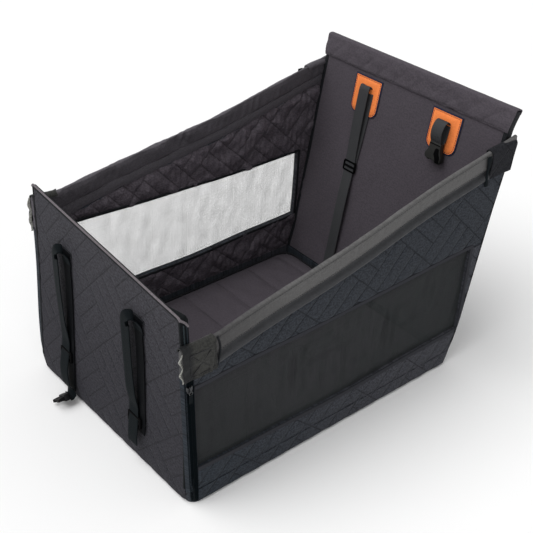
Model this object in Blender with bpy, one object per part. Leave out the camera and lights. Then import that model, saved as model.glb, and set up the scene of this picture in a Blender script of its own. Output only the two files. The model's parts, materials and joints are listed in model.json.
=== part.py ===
"""Dog car seat: a booster box with a folding front and back panel between soft side walls.

Metres, +Z up. The origin is the centre of the base's underside, the front is at -Y and the
back at +Y. Each panel is built in the frame of its own hinge: local z runs up the panel from
the fold, and local y is depth, with the inner face at zero.
"""

import math

import bmesh
import bpy

# Driving dimensions of the box
base_width = 0.500
base_length = 0.620
skirt_height = 0.030
front_height = 0.375
front_lean = math.radians(3.05)
back_height = 0.505
back_lean = math.radians(11.75)
wall_thickness = 0.010
panel_thickness = 0.014
rail_front_drop = 0.053
rail_rear_drop = 0.048
seam_gap = 0.0003
swing_gap = 0.0008

# Base
skirt_corner_radius = 0.014
skirt_bottom_fillet = 0.004
base_skin = 0.0020
base_board_thickness = 0.0045
base_board_clearance = 0.0010
board_corner_radius = 0.010

# Floor cushion
cushion_edge_room = 0.0060
cushion_corner_radius = 0.030
cushion_side_draw = 0.0030
cushion_seam_height = 0.0185
cushion_top_height = 0.0290
cushion_bottom_inset = 0.0050
cushion_crown_start = 0.0230
cushion_corner_steps = 5
cushion_side_steps = 8
cushion_crown_inset = 0.110
cushion_crown_rings = 5
channel_spacing = 0.085
channel_depth = 0.0022
channel_half_width = 0.014
piping_radius = 0.0022
piping_sides = 8

# Side walls
window_bottom = 0.082
window_top_drop = 0.075
rear_band_low_width = 0.0108
rear_band_high_width = 0.0331
mesh_thickness = 0.0012
net_columns = 12
net_rows = 4
net_bar = 0.0030
zip_width = 0.020
zip_thickness = 0.007
zip_top_drop = 0.054
tab_length = 0.060
tab_drop = 0.055
tab_skin = 0.0022
sleeve_height = 0.033
sleeve_thickness = 0.0115
sleeve_round = 0.0050
bore_height = 0.0230
bore_thickness = 0.0066
hem_height = 0.0140
hem_thickness = 0.0080
rail_webbing_width = 0.0200
rail_webbing_thickness = 0.0020
rail_foam_width = 0.0200
rail_foam_thickness = 0.0032
flap_length = 0.075
flap_drop = 0.050
flap_skin = 0.0020

# Zip sliders and pulls
slider_length = 0.013
slider_width = 0.011
slider_nose = 0.005
slider_thickness = 0.0032
slider_rest_drop = 0.013
zip_pull_width = 0.006
zip_pull_length = 0.026
zip_pull_thickness = 0.0016
rear_pull_width = 0.009
rear_pull_neck = 0.005
rear_pull_length = 0.054
rear_pull_thickness = 0.0022
rear_pull_drop = 0.006

# Panels
cover_thickness = 0.0047
board_thickness = 0.0050
front_binding_width = 0.0060
back_binding_width = 0.0080
top_flap_height = 0.045
top_flap_thickness = 0.0040
binding_bevel = 0.0012

# Webbing and its fittings
webbing_width = 0.030
webbing_thickness = 0.0020
strap_arc_radius = 0.0060
strap_lead = 0.0007
strap_offset = 0.0047
strap_settle = 0.040
arc_steps = 6
front_slot_drop = 0.0735
front_left_strap_inset = 0.0992
front_right_strap_inset = 0.1442
front_right_strap_end = 0.008
plug_bend_radius = 0.0110
plug_floor_gap = 0.0035
back_strap_inset = 0.1347
back_slot_drop = 0.027
tether_end = 0.014
loop_length = 0.038

triglide_rail = 0.0036
triglide_length = 0.024
triglide_bar = 0.0050
triglide_middle_bar = 0.0060
triglide_skin = 0.0018
triglide_side_gap = 0.0004
front_triglide_height = 0.058
back_triglide_drop = 0.162

plug_width = 0.038
plug_thickness = 0.0105
plug_body_length = 0.016
plug_arm_width = 0.0055
plug_arm_length = 0.029
plug_guide_width = 0.0060
plug_guide_length = 0.025

socket_width = 0.042
socket_thickness = 0.0130
socket_side = 0.0040
socket_skin = 0.0025
socket_length = 0.038
socket_mouth_depth = 0.031
socket_window_start = 0.012
socket_window_length = 0.012

# Orange patches
patch_width = 0.072
patch_height = 0.076
patch_below_flap = 0.008
patch_radius = 0.016
patch_thickness = 0.0016
fitting_bevel = 0.0005

# Worked out from the sizes above
half_width = base_width / 2
half_length = base_length / 2
rail_front_height = front_height - rail_front_drop
rail_rear_height = back_height - rail_rear_drop
window_top = rail_front_height - window_top_drop
zip_top = rail_front_height - zip_top_drop
panel_half = half_width - wall_thickness - swing_gap
front_span = (front_height - skirt_height) / math.cos(front_lean)
back_span = (back_height - skirt_height) / math.cos(back_lean)
front_axis_y = -half_length + panel_thickness
back_axis_y = half_length - panel_thickness
lining_thickness = panel_thickness - cover_thickness - board_thickness - 2 * seam_gap
rear_slope = math.tan(back_lean)
back_foot = panel_thickness * rear_slope + seam_gap
mesh_offset = (wall_thickness - mesh_thickness) / 2
front_slot_height = front_span - front_slot_drop
front_left_strap_x = front_left_strap_inset - panel_half
front_right_strap_x = panel_half - front_right_strap_inset
patch_top = back_span - top_flap_height - patch_below_flap
back_slot_height = patch_top - back_slot_drop
back_triglide_height = back_slot_height - back_triglide_drop
back_strap_x = panel_half - back_strap_inset


def clear_scene():
    for old in list(bpy.data.objects):
        bpy.data.objects.remove(old)


def make_material(name, colour, roughness, metallic=0.0):
    material = bpy.data.materials.new(name)
    material.use_nodes = True
    shader = material.node_tree.nodes["Principled BSDF"]
    shader.inputs["Base Color"].default_value = (*colour, 1.0)
    shader.inputs["Roughness"].default_value = roughness
    shader.inputs["Metallic"].default_value = metallic
    return material


def make_object(name, vertices, faces, material, parent=None, bevel=0):
    """One closed solid with its faces turned outward."""
    mesh = bpy.data.meshes.new(name)
    shape = bmesh.new()
    corners = [shape.verts.new(point) for point in vertices]
    for face in faces:
        shape.faces.new([corners[index] for index in face])
    bmesh.ops.recalc_face_normals(shape, faces=shape.faces)
    shape.to_mesh(mesh)
    shape.free()
    mesh.materials.append(material)
    piece = bpy.data.objects.new(name, mesh)
    bpy.context.collection.objects.link(piece)
    if parent:
        piece.parent = parent
    if bevel:
        rounding = piece.modifiers.new("rounding", "BEVEL")
        rounding.width = bevel
        rounding.segments = 1
        rounding.limit_method = "ANGLE"
    return piece


def make_hinge(name, y, lean):
    """An empty on a fold line, tilted so that its z runs up the panel."""
    hinge = bpy.data.objects.new(name, None)
    hinge.location = (0, y, skirt_height)
    hinge.rotation_euler = (-lean, 0, 0)
    bpy.context.collection.objects.link(hinge)
    return hinge


def loops_solid(name, loops, material, parent=None, bevel=0):
    """Bridges closed loops of equal length in turn and caps the first and the last."""
    count = len(loops[0])
    vertices = [point for loop in loops for point in loop]
    faces = [list(range(count)), [len(vertices) - count + i for i in range(count)]]
    for ring in range(len(loops) - 1):
        for i in range(count):
            a = ring * count + i
            b = ring * count + (i + 1) % count
            faces.append([a, b, b + count, a + count])
    return make_object(name, vertices, faces, material, parent, bevel)


def ring_solid(name, outer, inner, material, parent=None):
    """A tube with open ends: outer and inner are matching lists of cross-sections."""
    count = len(outer[0])
    loops = outer + inner[::-1]
    vertices = [point for loop in loops for point in loop]
    faces = []
    for ring in range(len(loops)):
        following = (ring + 1) % len(loops)
        for i in range(count):
            after = (i + 1) % count
            faces.append(
                [
                    ring * count + i,
                    ring * count + after,
                    following * count + after,
                    following * count + i,
                ]
            )
    return make_object(name, vertices, faces, material, parent)


def prism(name, outline, axis, low, high, material, parent=None, bevel=0):
    """Extrudes an outline along X, Y or Z; the outline's pairs are the other two coordinates."""
    place = {
        "X": lambda a, b, depth: (depth, a, b),
        "Y": lambda a, b, depth: (a, depth, b),
        "Z": lambda a, b, depth: (a, b, depth),
    }[axis]
    loops = [[place(a, b, depth) for a, b in outline] for depth in (low, high)]
    return loops_solid(name, loops, material, parent, bevel)


def rectangle(low_a, high_a, low_b, high_b):
    return [(low_a, low_b), (high_a, low_b), (high_a, high_b), (low_a, high_b)]


def cell_solid(name, xs, ys, zs, is_filled, material, parent=None, bevel=0, place=None):
    """A solid from a grid of boxes, of which is_filled(i, j, k) says which are solid.

    place(x, y, z) moves the grid's corners, for a grid that isn't square."""
    cells = [
        (i, j, k)
        for i in range(len(xs) - 1)
        for j in range(len(ys) - 1)
        for k in range(len(zs) - 1)
        if is_filled(i, j, k)
    ]
    solid = set(cells)
    sides = [
        ((-1, 0, 0), ((0, 0, 0), (0, 0, 1), (0, 1, 1), (0, 1, 0))),
        ((1, 0, 0), ((1, 0, 0), (1, 1, 0), (1, 1, 1), (1, 0, 1))),
        ((0, -1, 0), ((0, 0, 0), (1, 0, 0), (1, 0, 1), (0, 0, 1))),
        ((0, 1, 0), ((0, 1, 0), (0, 1, 1), (1, 1, 1), (1, 1, 0))),
        ((0, 0, -1), ((0, 0, 0), (0, 1, 0), (1, 1, 0), (1, 0, 0))),
        ((0, 0, 1), ((0, 0, 1), (1, 0, 1), (1, 1, 1), (0, 1, 1))),
    ]
    numbers = {}
    faces = []
    for i, j, k in cells:
        for (di, dj, dk), corners in sides:
            if (i + di, j + dj, k + dk) in solid:
                continue
            faces.append(
                [
                    numbers.setdefault((i + a, j + b, k + c), len(numbers))
                    for a, b, c in corners
                ]
            )
    vertices = [(xs[i], ys[j], zs[k]) for i, j, k in numbers]
    if place:
        vertices = [place(*vertex) for vertex in vertices]
    return make_object(name, vertices, faces, material, parent, bevel)


def rounded_rectangle(half_x, half_y, radius, corner_steps, side_steps=1):
    """Points round a rectangle with arcs at its corners and even steps along its sides."""
    centres = [
        (half_x - radius, half_y - radius, 0),
        (radius - half_x, half_y - radius, 1),
        (radius - half_x, radius - half_y, 2),
        (half_x - radius, radius - half_y, 3),
    ]
    points = []
    for number, (cx, cy, quarter) in enumerate(centres):
        for step in range(corner_steps + 1):
            angle = (quarter + step / corner_steps) * math.pi / 2
            points.append((cx + radius * math.cos(angle), cy + radius * math.sin(angle)))
        next_x, next_y, next_quarter = centres[(number + 1) % 4]
        start_angle = next_quarter * math.pi / 2
        after = (next_x + radius * math.cos(start_angle), next_y + radius * math.sin(start_angle))
        here = points[-1]
        for step in range(1, side_steps):
            share = step / side_steps
            points.append(
                (here[0] + (after[0] - here[0]) * share, here[1] + (after[1] - here[1]) * share)
            )
    return points


def sided(side, low, high):
    """The x range of a piece on the right (side 1) or, mirrored, on the left (side -1)."""
    return (low, high) if side > 0 else (-high, -low)


# Base


def build_base(fabric, board_plastic):
    corner_steps = 4
    outer = (half_width, half_length, skirt_corner_radius, corner_steps)
    tucked = (
        half_width - skirt_bottom_fillet,
        half_length - skirt_bottom_fillet,
        skirt_corner_radius - skirt_bottom_fillet,
        corner_steps,
    )
    inner = (
        half_width - wall_thickness,
        half_length - panel_thickness,
        board_corner_radius,
        corner_steps,
    )
    levels = [
        (tucked, 0),
        (outer, skirt_bottom_fillet),
        (outer, skirt_height - seam_gap),
        (inner, skirt_height - seam_gap),
        (inner, base_skin),
    ]
    loops = [
        [(x, y, height) for x, y in rounded_rectangle(*shape)] for shape, height in levels
    ]
    loops_solid("base_cover", loops, fabric)
    board = rounded_rectangle(
        half_width - wall_thickness - base_board_clearance,
        half_length - panel_thickness - base_board_clearance,
        board_corner_radius,
        corner_steps,
    )
    board_low = base_skin + seam_gap
    prism(
        "base_board",
        board,
        "Z",
        board_low,
        board_low + base_board_thickness,
        board_plastic,
    )


def cushion_outline(inset):
    """The pad's plan, drawn in between its corners, at a distance inside its edge."""
    half_x = half_width - wall_thickness - cushion_edge_room - inset
    half_y = half_length - panel_thickness - cushion_edge_room - inset
    radius = max(cushion_corner_radius - inset, cushion_corner_radius / 4)
    points = rounded_rectangle(
        half_x, half_y, radius, cushion_corner_steps, cushion_side_steps
    )
    drawn = []
    for x, y in points:
        pull_x = cushion_side_draw * math.cos(math.pi / 2 * min(1, abs(y) / half_y))
        pull_y = cushion_side_draw * math.cos(math.pi / 2 * min(1, abs(x) / half_x))
        toward_x = (abs(x) / half_x) ** 4
        toward_y = (abs(y) / half_y) ** 4
        drawn.append(
            (
                x - math.copysign(pull_x * toward_x, x),
                y - math.copysign(pull_y * toward_y, y),
            )
        )
    return drawn


def channel_dip(y):
    """How deep the nearest sewn channel across the pad is at y."""
    nearest = round(y / channel_spacing) * channel_spacing
    distance = abs(y - nearest)
    if distance >= channel_half_width:
        return 0
    return channel_depth * 0.5 * (1 + math.cos(math.pi * distance / channel_half_width))


def build_cushion(fabric, piping):
    bottom = base_skin + seam_gap + base_board_thickness + seam_gap
    side = [(cushion_bottom_inset, bottom), (0, cushion_seam_height)]
    loops = [[(x, y, height) for x, y in cushion_outline(inset)] for inset, height in side]
    for ring in range(cushion_crown_rings + 1):
        share = ring / cushion_crown_rings
        inset = cushion_bottom_inset + (cushion_crown_inset - cushion_bottom_inset) * share
        rise = math.sin(math.pi / 2 * share)
        height = cushion_crown_start + (cushion_top_height - cushion_crown_start) * rise
        loops.append(
            [(x, y, height - channel_dip(y) * rise) for x, y in cushion_outline(inset)]
        )
    cap = cushion_cap(loops[-1])
    pad = loops_solid("floor_cushion", loops, fabric)
    close_crown(pad, len(loops[0]), cap)
    build_piping(piping)


def cushion_cap(loop):
    """A point at the middle of the crown's inner ring."""
    return (0, 0, max(point[2] for point in loop))


def close_crown(pad, count, cap):
    """Replaces the flat cap by a fan to a centre point, so that the crown stays smooth."""
    shape = bmesh.new()
    shape.from_mesh(pad.data)
    shape.verts.ensure_lookup_table()
    top_ring = set(shape.verts[-count:])
    flat = [face for face in shape.faces if set(face.verts) == top_ring]
    edges = list(flat[0].edges)
    bmesh.ops.delete(shape, geom=flat, context="FACES_ONLY")
    centre = shape.verts.new(cap)
    for edge in edges:
        shape.faces.new((edge.verts[0], edge.verts[1], centre))
    bmesh.ops.recalc_face_normals(shape, faces=shape.faces)
    shape.to_mesh(pad.data)
    shape.free()


def build_piping(piping):
    """A corded edge round the pad, just outside its seam."""
    reach = piping_radius + seam_gap
    route = cushion_outline(-reach)
    loops = []
    for index, (x, y) in enumerate(route):
        before = route[index - 1]
        after = route[(index + 1) % len(route)]
        heading = math.atan2(after[1] - before[1], after[0] - before[0])
        out_x = math.sin(heading)
        out_y = -math.cos(heading)
        loops.append(
            [
                (
                    x + out_x * piping_radius * math.cos(turn),
                    y + out_y * piping_radius * math.cos(turn),
                    cushion_seam_height + piping_radius * math.sin(turn),
                )
                for turn in (2 * math.pi * i / piping_sides for i in range(piping_sides))
            ]
        )
    count = piping_sides
    vertices = [point for loop in loops for point in loop]
    faces = []
    for ring in range(len(loops)):
        following = (ring + 1) % len(loops)
        for i in range(count):
            after = (i + 1) % count
            faces.append(
                [
                    ring * count + i,
                    ring * count + after,
                    following * count + after,
                    following * count + i,
                ]
            )
    make_object("cushion_piping", vertices, faces, piping)


# Side walls: distances along are measured from the front of the box


def rear_edge(height):
    """Where the wall's leaning rear edge is at a height, measured from the front."""
    return base_length + (height - skirt_height) * rear_slope


rail_rear = rear_edge(rail_rear_height)
rail_rise = (rail_rear_height - rail_front_height) / (rail_rear - tab_length)


def rail_top(along):
    """The height of the wall's top edge: level under the front tab, then rising."""
    return rail_front_height + max(0, along - tab_length) * rail_rise


def rail_end(drop):
    """Where a line that far under the top edge meets the rear edge."""
    start = rail_front_height - tab_length * rail_rise - drop
    return (base_length + (start - skirt_height) * rear_slope) / (1 - rail_rise * rear_slope)


def rail_stations(front, drop, rear_trim=0):
    """The places along the rail where a strip has its corners."""
    end = rail_end(drop) - rear_trim
    return [front, tab_length, end]


def strip_outline(top_drop, bottom_drop, front=0):
    """The side view of a strip that follows the rail between two depths under it."""
    upper = [(s, rail_top(s) - top_drop) for s in rail_stations(front, top_drop)]
    lower = [(s, rail_top(s) - bottom_drop) for s in rail_stations(front, bottom_drop)]
    return [(s - half_length, z) for s, z in upper + lower[::-1]]


def from_front(points):
    return [(s - half_length, z) for s, z in points]


def build_wall_bands(side, name, fabric, mesh_fabric):
    inner_x = half_width - wall_thickness
    low = skirt_height + seam_gap
    zip_rear = zip_width
    lower = from_front(
        [
            (zip_rear, low),
            (rear_edge(low), low),
            (rear_edge(window_bottom), window_bottom),
            (zip_rear, window_bottom),
        ]
    )
    x_range = sided(side, inner_x, half_width)
    prism(f"{name}_wall_lower_band", lower, "X", *x_range, fabric)

    top_drop = sleeve_height + hem_height + 2 * seam_gap
    edge = [(s, rail_top(s) - top_drop) for s in rail_stations(0, top_drop)]
    upper = from_front(
        [
            (0, zip_top),
            (zip_rear, zip_top),
            (zip_rear, window_top),
            (rear_edge(window_top), window_top),
        ]
        + edge[::-1]
    )
    prism(f"{name}_wall_upper_band", upper, "X", *x_range, fabric)

    band_low = window_bottom + seam_gap
    band_high = window_top - seam_gap
    window_rear = [
        rear_edge(band_low) - rear_band_low_width,
        rear_edge(band_high) - rear_band_high_width,
    ]
    rear_band = from_front(
        [
            (window_rear[0], band_low),
            (rear_edge(band_low), band_low),
            (rear_edge(band_high), band_high),
            (window_rear[1], band_high),
        ]
    )
    prism(f"{name}_wall_rear_band", rear_band, "X", *x_range, fabric)

    mesh_front = zip_rear + seam_gap
    mesh_rear = [edge - seam_gap for edge in window_rear]
    mesh_range = sided(side, inner_x + mesh_offset, half_width - mesh_offset)
    window = (mesh_front, mesh_rear, band_low, band_high)
    build_net(f"{name}_mesh_window", mesh_range, window, mesh_fabric)


def bar_shares(count, length):
    """Where a net's bars and openings begin and end along one of its sides, from 0 to 1."""
    bar = net_bar / length
    pitch = (1 - bar) / count
    return [place for k in range(count + 1) for place in (k * pitch, k * pitch + bar)]


def build_net(name, x_range, window, material):
    """The mesh as a plain net, bordered by its window's four edges."""
    front, rear, low, high = window

    def place(x, share, rise):
        end = rear[0] + (rear[1] - rear[0]) * rise
        along = front + (end - front) * share
        return (x, along - half_length, low + (high - low) * rise)

    def is_filled(i, j, k):
        return j % 2 == 0 or k % 2 == 0

    across = bar_shares(net_columns, rear[0] - front)
    upward = bar_shares(net_rows, high - low)
    cell_solid(name, x_range, across, upward, is_filled, material, place=place)


def build_wall_zip(side, name, tape, metal, pull_material):
    low = skirt_height + seam_gap
    top = zip_top - seam_gap
    strip = from_front(rectangle(0, zip_width - seam_gap, low, top))
    outer_x = half_width
    prism(f"{name}_front_zip", strip, "X", *sided(side, outer_x - zip_thickness, outer_x), tape)

    centre = zip_width / 2
    slider_top = zip_top - slider_rest_drop
    slider_low = slider_top - slider_length
    half = slider_width / 2
    neck = slider_width / 4
    slider = from_front(
        [
            (centre - half, slider_top),
            (centre - half, slider_low + slider_nose),
            (centre - neck, slider_low),
            (centre + neck, slider_low),
            (centre + half, slider_low + slider_nose),
            (centre + half, slider_top),
        ]
    )
    slider_x = outer_x + seam_gap
    prism(
        f"{name}_zip_slider",
        slider,
        "X",
        *sided(side, slider_x, slider_x + slider_thickness),
        metal,
        bevel=fitting_bevel,
    )
    pull_top = slider_top - slider_nose
    pull_low = pull_top - zip_pull_length
    pull_half = zip_pull_width / 2
    tip = zip_pull_width / 4
    pull = from_front(
        [
            (centre - pull_half, pull_top),
            (centre - pull_half, pull_low + tip),
            (centre - tip, pull_low),
            (centre + tip, pull_low),
            (centre + pull_half, pull_low + tip),
            (centre + pull_half, pull_top),
        ]
    )
    pull_x = slider_x + slider_thickness + seam_gap
    prism(
        f"{name}_zip_pull",
        pull,
        "X",
        *sided(side, pull_x, pull_x + zip_pull_thickness),
        pull_material,
    )


def sleeve_section(side, height, thickness, rounding, inset):
    """The sleeve's cross-section as (x, distance under the top edge) pairs."""
    low_x = half_width - wall_thickness + inset
    points = [
        (low_x, rounding),
        (low_x + rounding / 3, rounding / 3),
        (low_x + rounding, 0),
        (low_x + thickness - rounding, 0),
        (low_x + thickness - rounding / 3, rounding / 3),
        (low_x + thickness, rounding),
        (low_x + thickness, height - rounding),
        (low_x + thickness - rounding / 3, height - rounding / 3),
        (low_x + thickness - rounding, height),
        (low_x + rounding, height),
        (low_x + rounding / 3, height - rounding / 3),
        (low_x, height - rounding),
    ]
    return [(side * x, drop) for x, drop in points]


def build_rail(side, name, fabric, trim, webbing, foam):
    section = sleeve_section(side, sleeve_height, sleeve_thickness, sleeve_round, 0)
    bore_inset = (sleeve_thickness - bore_thickness) / 2
    bore_drop = (sleeve_height - bore_height) / 2
    bore_round = sleeve_round / 4
    bore = [
        (x, drop + bore_drop)
        for x, drop in sleeve_section(
            side, bore_height, bore_thickness, bore_round, bore_inset
        )
    ]

    def sections(shape):
        return [
            [(x, s - half_length, rail_top(s) - drop) for x, drop, s in placed]
            for placed in zip(
                *(
                    [(x, drop, s) for s in rail_stations(0, drop, seam_gap)]
                    for x, drop in shape
                )
            )
        ]

    ring_solid(f"{name}_rail_sleeve", sections(section), sections(bore), fabric)

    top_drop = sleeve_height + seam_gap
    hem_low_x = half_width - wall_thickness
    prism(
        f"{name}_rail_hem",
        strip_outline(top_drop, top_drop + hem_height),
        "X",
        *sided(side, hem_low_x, hem_low_x + hem_thickness),
        trim,
    )

    webbing_drop = (sleeve_height - rail_webbing_width) / 2
    webbing_x = half_width - wall_thickness + bore_inset + seam_gap
    prism(
        f"{name}_rail_webbing",
        strip_outline(webbing_drop, webbing_drop + rail_webbing_width),
        "X",
        *sided(side, webbing_x, webbing_x + rail_webbing_thickness),
        webbing,
    )
    foam_drop = (sleeve_height - rail_foam_width) / 2
    foam_x = webbing_x + rail_webbing_thickness + seam_gap
    prism(
        f"{name}_rail_foam",
        strip_outline(foam_drop, foam_drop + rail_foam_width),
        "X",
        *sided(side, foam_x, foam_x + rail_foam_thickness),
        foam,
    )


def hooked_cover(name, side, front, rear_of, drop, skin, material):
    """A tab or flap that lies over the rail's top and down its outer side."""
    inner_x = half_width - wall_thickness
    outer_x = inner_x + sleeve_thickness + seam_gap
    shape = [
        (inner_x, -seam_gap),
        (outer_x, -seam_gap),
        (outer_x, drop),
        (outer_x + skin, drop),
        (outer_x + skin, -seam_gap - skin),
        (inner_x, -seam_gap - skin),
    ]
    loops = [
        [
            (side * x, s - half_length, rail_top(s) - below)
            for x, below, s in ((x, below, ends(below)) for x, below in shape)
        ]
        for ends in (lambda below: front, rear_of)
    ]
    return loops_solid(name, loops, material)


def build_tab_and_flap(side, name, webbing, fabric):
    hooked_cover(
        f"{name}_front_tab",
        side,
        0,
        lambda below: tab_length,
        tab_drop,
        tab_skin,
        webbing,
    )
    flap_front = rail_end(0) - flap_length
    hooked_cover(
        f"{name}_rear_flap", side, flap_front, rail_end, flap_drop, flap_skin, fabric
    )
    pull_y = flap_front - rear_pull_width
    top = rail_top(pull_y) - rear_pull_drop
    centre = pull_y - half_length
    half = rear_pull_width / 2
    neck = rear_pull_neck / 2
    low = top - rear_pull_length
    outline = [
        (centre - half, top),
        (centre - neck, top - rear_pull_width),
        (centre - neck, low + 2 * rear_pull_width),
        (centre - half, low + rear_pull_width),
        (centre - half, low),
        (centre + half, low),
        (centre + half, low + rear_pull_width),
        (centre + neck, low + 2 * rear_pull_width),
        (centre + neck, top - rear_pull_width),
        (centre + half, top),
    ]
    pull_x = half_width - wall_thickness + sleeve_thickness + seam_gap
    prism(
        f"{name}_rear_pull",
        outline,
        "X",
        *sided(side, pull_x, pull_x + rear_pull_thickness),
        webbing,
    )


# Panels, in their hinge's frame


def build_panel_layers(prefix, hinge, direction, half_x, low, high, materials):
    """Lining, board and outer cover; direction is the way from inner face to outer face."""
    edges = rectangle(-half_x, half_x, low, high)
    depth = 0
    layers = [
        ("lining", lining_thickness, materials[0]),
        ("board", board_thickness, materials[1]),
        ("outer_cover", cover_thickness, materials[2]),
    ]
    for layer, thickness, material in layers:
        faces = sorted((direction * depth, direction * (depth + thickness)))
        prism(f"{prefix}_{layer}", edges, "Y", *faces, material, hinge)
        depth += thickness + seam_gap


def build_front_panel(hinge, materials, binding):
    inner_half = panel_half - front_binding_width - seam_gap
    inner_top = front_span - front_binding_width - seam_gap
    build_panel_layers("front", hinge, -1, inner_half, 0, inner_top, materials)
    rim = [
        (-panel_half, 0),
        (front_binding_width - panel_half, 0),
        (front_binding_width - panel_half, front_span - front_binding_width),
        (panel_half - front_binding_width, front_span - front_binding_width),
        (panel_half - front_binding_width, 0),
        (panel_half, 0),
        (panel_half, front_span),
        (-panel_half, front_span),
    ]
    prism("front_binding", rim, "Y", -panel_thickness, 0, binding, hinge)


def build_back_panel(hinge, materials, binding, flap_fabric):
    inner_half = panel_half - back_binding_width - seam_gap
    layers_top = back_span - top_flap_thickness - seam_gap
    build_panel_layers("back", hinge, 1, inner_half, back_foot, layers_top, materials)
    for name, side in (("right", 1), ("left", -1)):
        low_x, high_x = sided(side, panel_half - back_binding_width, panel_half)
        prism(
            f"back_{name}_binding",
            rectangle(low_x, high_x, back_foot, layers_top),
            "Y",
            0,
            panel_thickness,
            binding,
            hinge,
            bevel=binding_bevel,
        )
    flap_low = back_span - top_flap_height
    inner = -seam_gap
    outer = panel_thickness
    under = back_span - top_flap_thickness
    profile = [
        (inner, flap_low),
        (inner, under),
        (outer, under),
        (outer, back_span - top_flap_thickness / 2),
        (outer - top_flap_thickness / 2, back_span),
        (inner - top_flap_thickness / 2, back_span),
        (inner - top_flap_thickness, back_span - top_flap_thickness / 2),
        (inner - top_flap_thickness, flap_low),
    ]
    prism("back_top_flap", profile, "X", -panel_half, panel_half, flap_fabric, hinge)


def build_patch(name, centre_x, hinge, material):
    """A reinforcing patch with a straight top and round lower corners."""
    half = patch_width / 2
    low = patch_top - patch_height
    steps = 5
    outline = [(half, patch_top), (-half, patch_top)]
    for quarter, middle in ((2, patch_radius - half), (3, half - patch_radius)):
        for step in range(steps + 1):
            angle = (quarter + step / steps) * math.pi / 2
            outline.append(
                (
                    middle + patch_radius * math.cos(angle),
                    low + patch_radius + patch_radius * math.sin(angle),
                )
            )
    placed = [(centre_x + x, z) for x, z in outline]
    prism(name, placed, "Y", -seam_gap - patch_thickness, -seam_gap, material, hinge)


# Webbing: a path is a list of (distance off the panel's face, height up the panel)


def arc(centre, radius, start, end):
    points = []
    for step in range(arc_steps + 1):
        angle = start + (end - start) * step / arc_steps
        points.append(
            (centre[0] + radius * math.cos(angle), centre[1] + radius * math.sin(angle))
        )
    return points


def strap_root(surface):
    """How far the strap's pivot stands off the face that it comes out of."""
    return surface + seam_gap + webbing_thickness / 2


def hanging_path(surface, slot, low, settled):
    """Out of the slot, over in a quarter turn, then down to a height."""
    root = strap_root(surface)
    turn = root + strap_lead
    path = [(root, slot), (turn, slot)]
    path += arc((turn, slot - strap_arc_radius), strap_arc_radius, math.pi / 2, 0)[1:]
    if settled:
        outer = path[-1][0]
        steps = arc_steps
        top = path[-1][1]
        for step in range(1, steps + 1):
            share = step / steps
            ease = 0.5 - 0.5 * math.cos(math.pi * share)
            path.append((outer + (strap_offset - outer) * ease, top - strap_settle * share))
    path.append((path[-1][0], low))
    return path


def ribbon(name, path, side, centre_x, material, parent):
    """Webbing of full width along a path; side is the local y direction off the panel."""
    half = webbing_thickness / 2
    left = []
    right = []
    for index, (d, z) in enumerate(path):
        before = path[max(index - 1, 0)]
        after = path[min(index + 1, len(path) - 1)]
        run = math.hypot(after[0] - before[0], after[1] - before[1])
        normal = (-(after[1] - before[1]) / run, (after[0] - before[0]) / run)
        left.append((d + normal[0] * half, z + normal[1] * half))
        right.append((d - normal[0] * half, z - normal[1] * half))
    root = path[0]
    cap_steps = 4
    cap = [
        (
            root[0] - half * math.sin(math.pi * step / cap_steps),
            root[1] - half * math.cos(math.pi * step / cap_steps),
        )
        for step in range(1, cap_steps)
    ]
    outline = [(side * d, z) for d, z in left[::-1]]
    outline += [(side * d, z) for d, z in cap[::-1]]
    outline += [(side * d, z) for d, z in right]
    half_x = webbing_width / 2
    return prism(name, outline, "X", centre_x - half_x, centre_x + half_x, material, parent)


def shifted(path, shift):
    return [(d + shift, z) for d, z in path]


def build_triglide(name, face, side, centre_x, height, material, parent):
    """A three-bar slide: two bars over the webbing and one behind it."""
    inner_half = webbing_width / 2 + triglide_side_gap
    outer_half = inner_half + triglide_rail
    webbing_low = face + strap_offset - webbing_thickness / 2
    webbing_high = webbing_low + webbing_thickness
    xs = [
        centre_x - outer_half,
        centre_x - inner_half,
        centre_x + inner_half,
        centre_x + outer_half,
    ]
    depths = [
        webbing_low - seam_gap - triglide_skin,
        webbing_low - seam_gap,
        webbing_high + seam_gap,
        webbing_high + seam_gap + triglide_skin,
    ]
    half = triglide_length / 2
    middle = triglide_middle_bar / 2
    zs = [
        height - half,
        height - half + triglide_bar,
        height - middle,
        height + middle,
        height + half - triglide_bar,
        height + half,
    ]

    def is_filled(i, j, k):
        if i != 1:
            return True
        if j == 2:
            return k in (0, 4)
        return j == 0 and k == 2

    ys = [side * depth for depth in depths]
    cell_solid(name, xs, ys, zs, is_filled, material, parent)


def build_plug(centre_x, start, height, hinge, material):
    """The plug lies level, pointing forward: a body, two arms and a centre guide."""
    half = plug_width / 2
    arm = half - plug_arm_width
    guide = plug_guide_width / 2
    xs = [centre_x + x for x in (-half, -arm, -guide, guide, arm, half)]
    depths = [
        start,
        start + plug_body_length,
        start + plug_body_length + plug_guide_length,
        start + plug_body_length + plug_arm_length,
    ]
    zs = [height - plug_thickness / 2, height + plug_thickness / 2]

    def is_filled(i, j, k):
        if j == 0:
            return True
        if j == 1:
            return i in (0, 2, 4)
        return i in (0, 4)

    ys = [-depth for depth in depths]
    cell_solid("front_left_plug", xs, ys, zs, is_filled, material, hinge, fitting_bevel)


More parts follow.
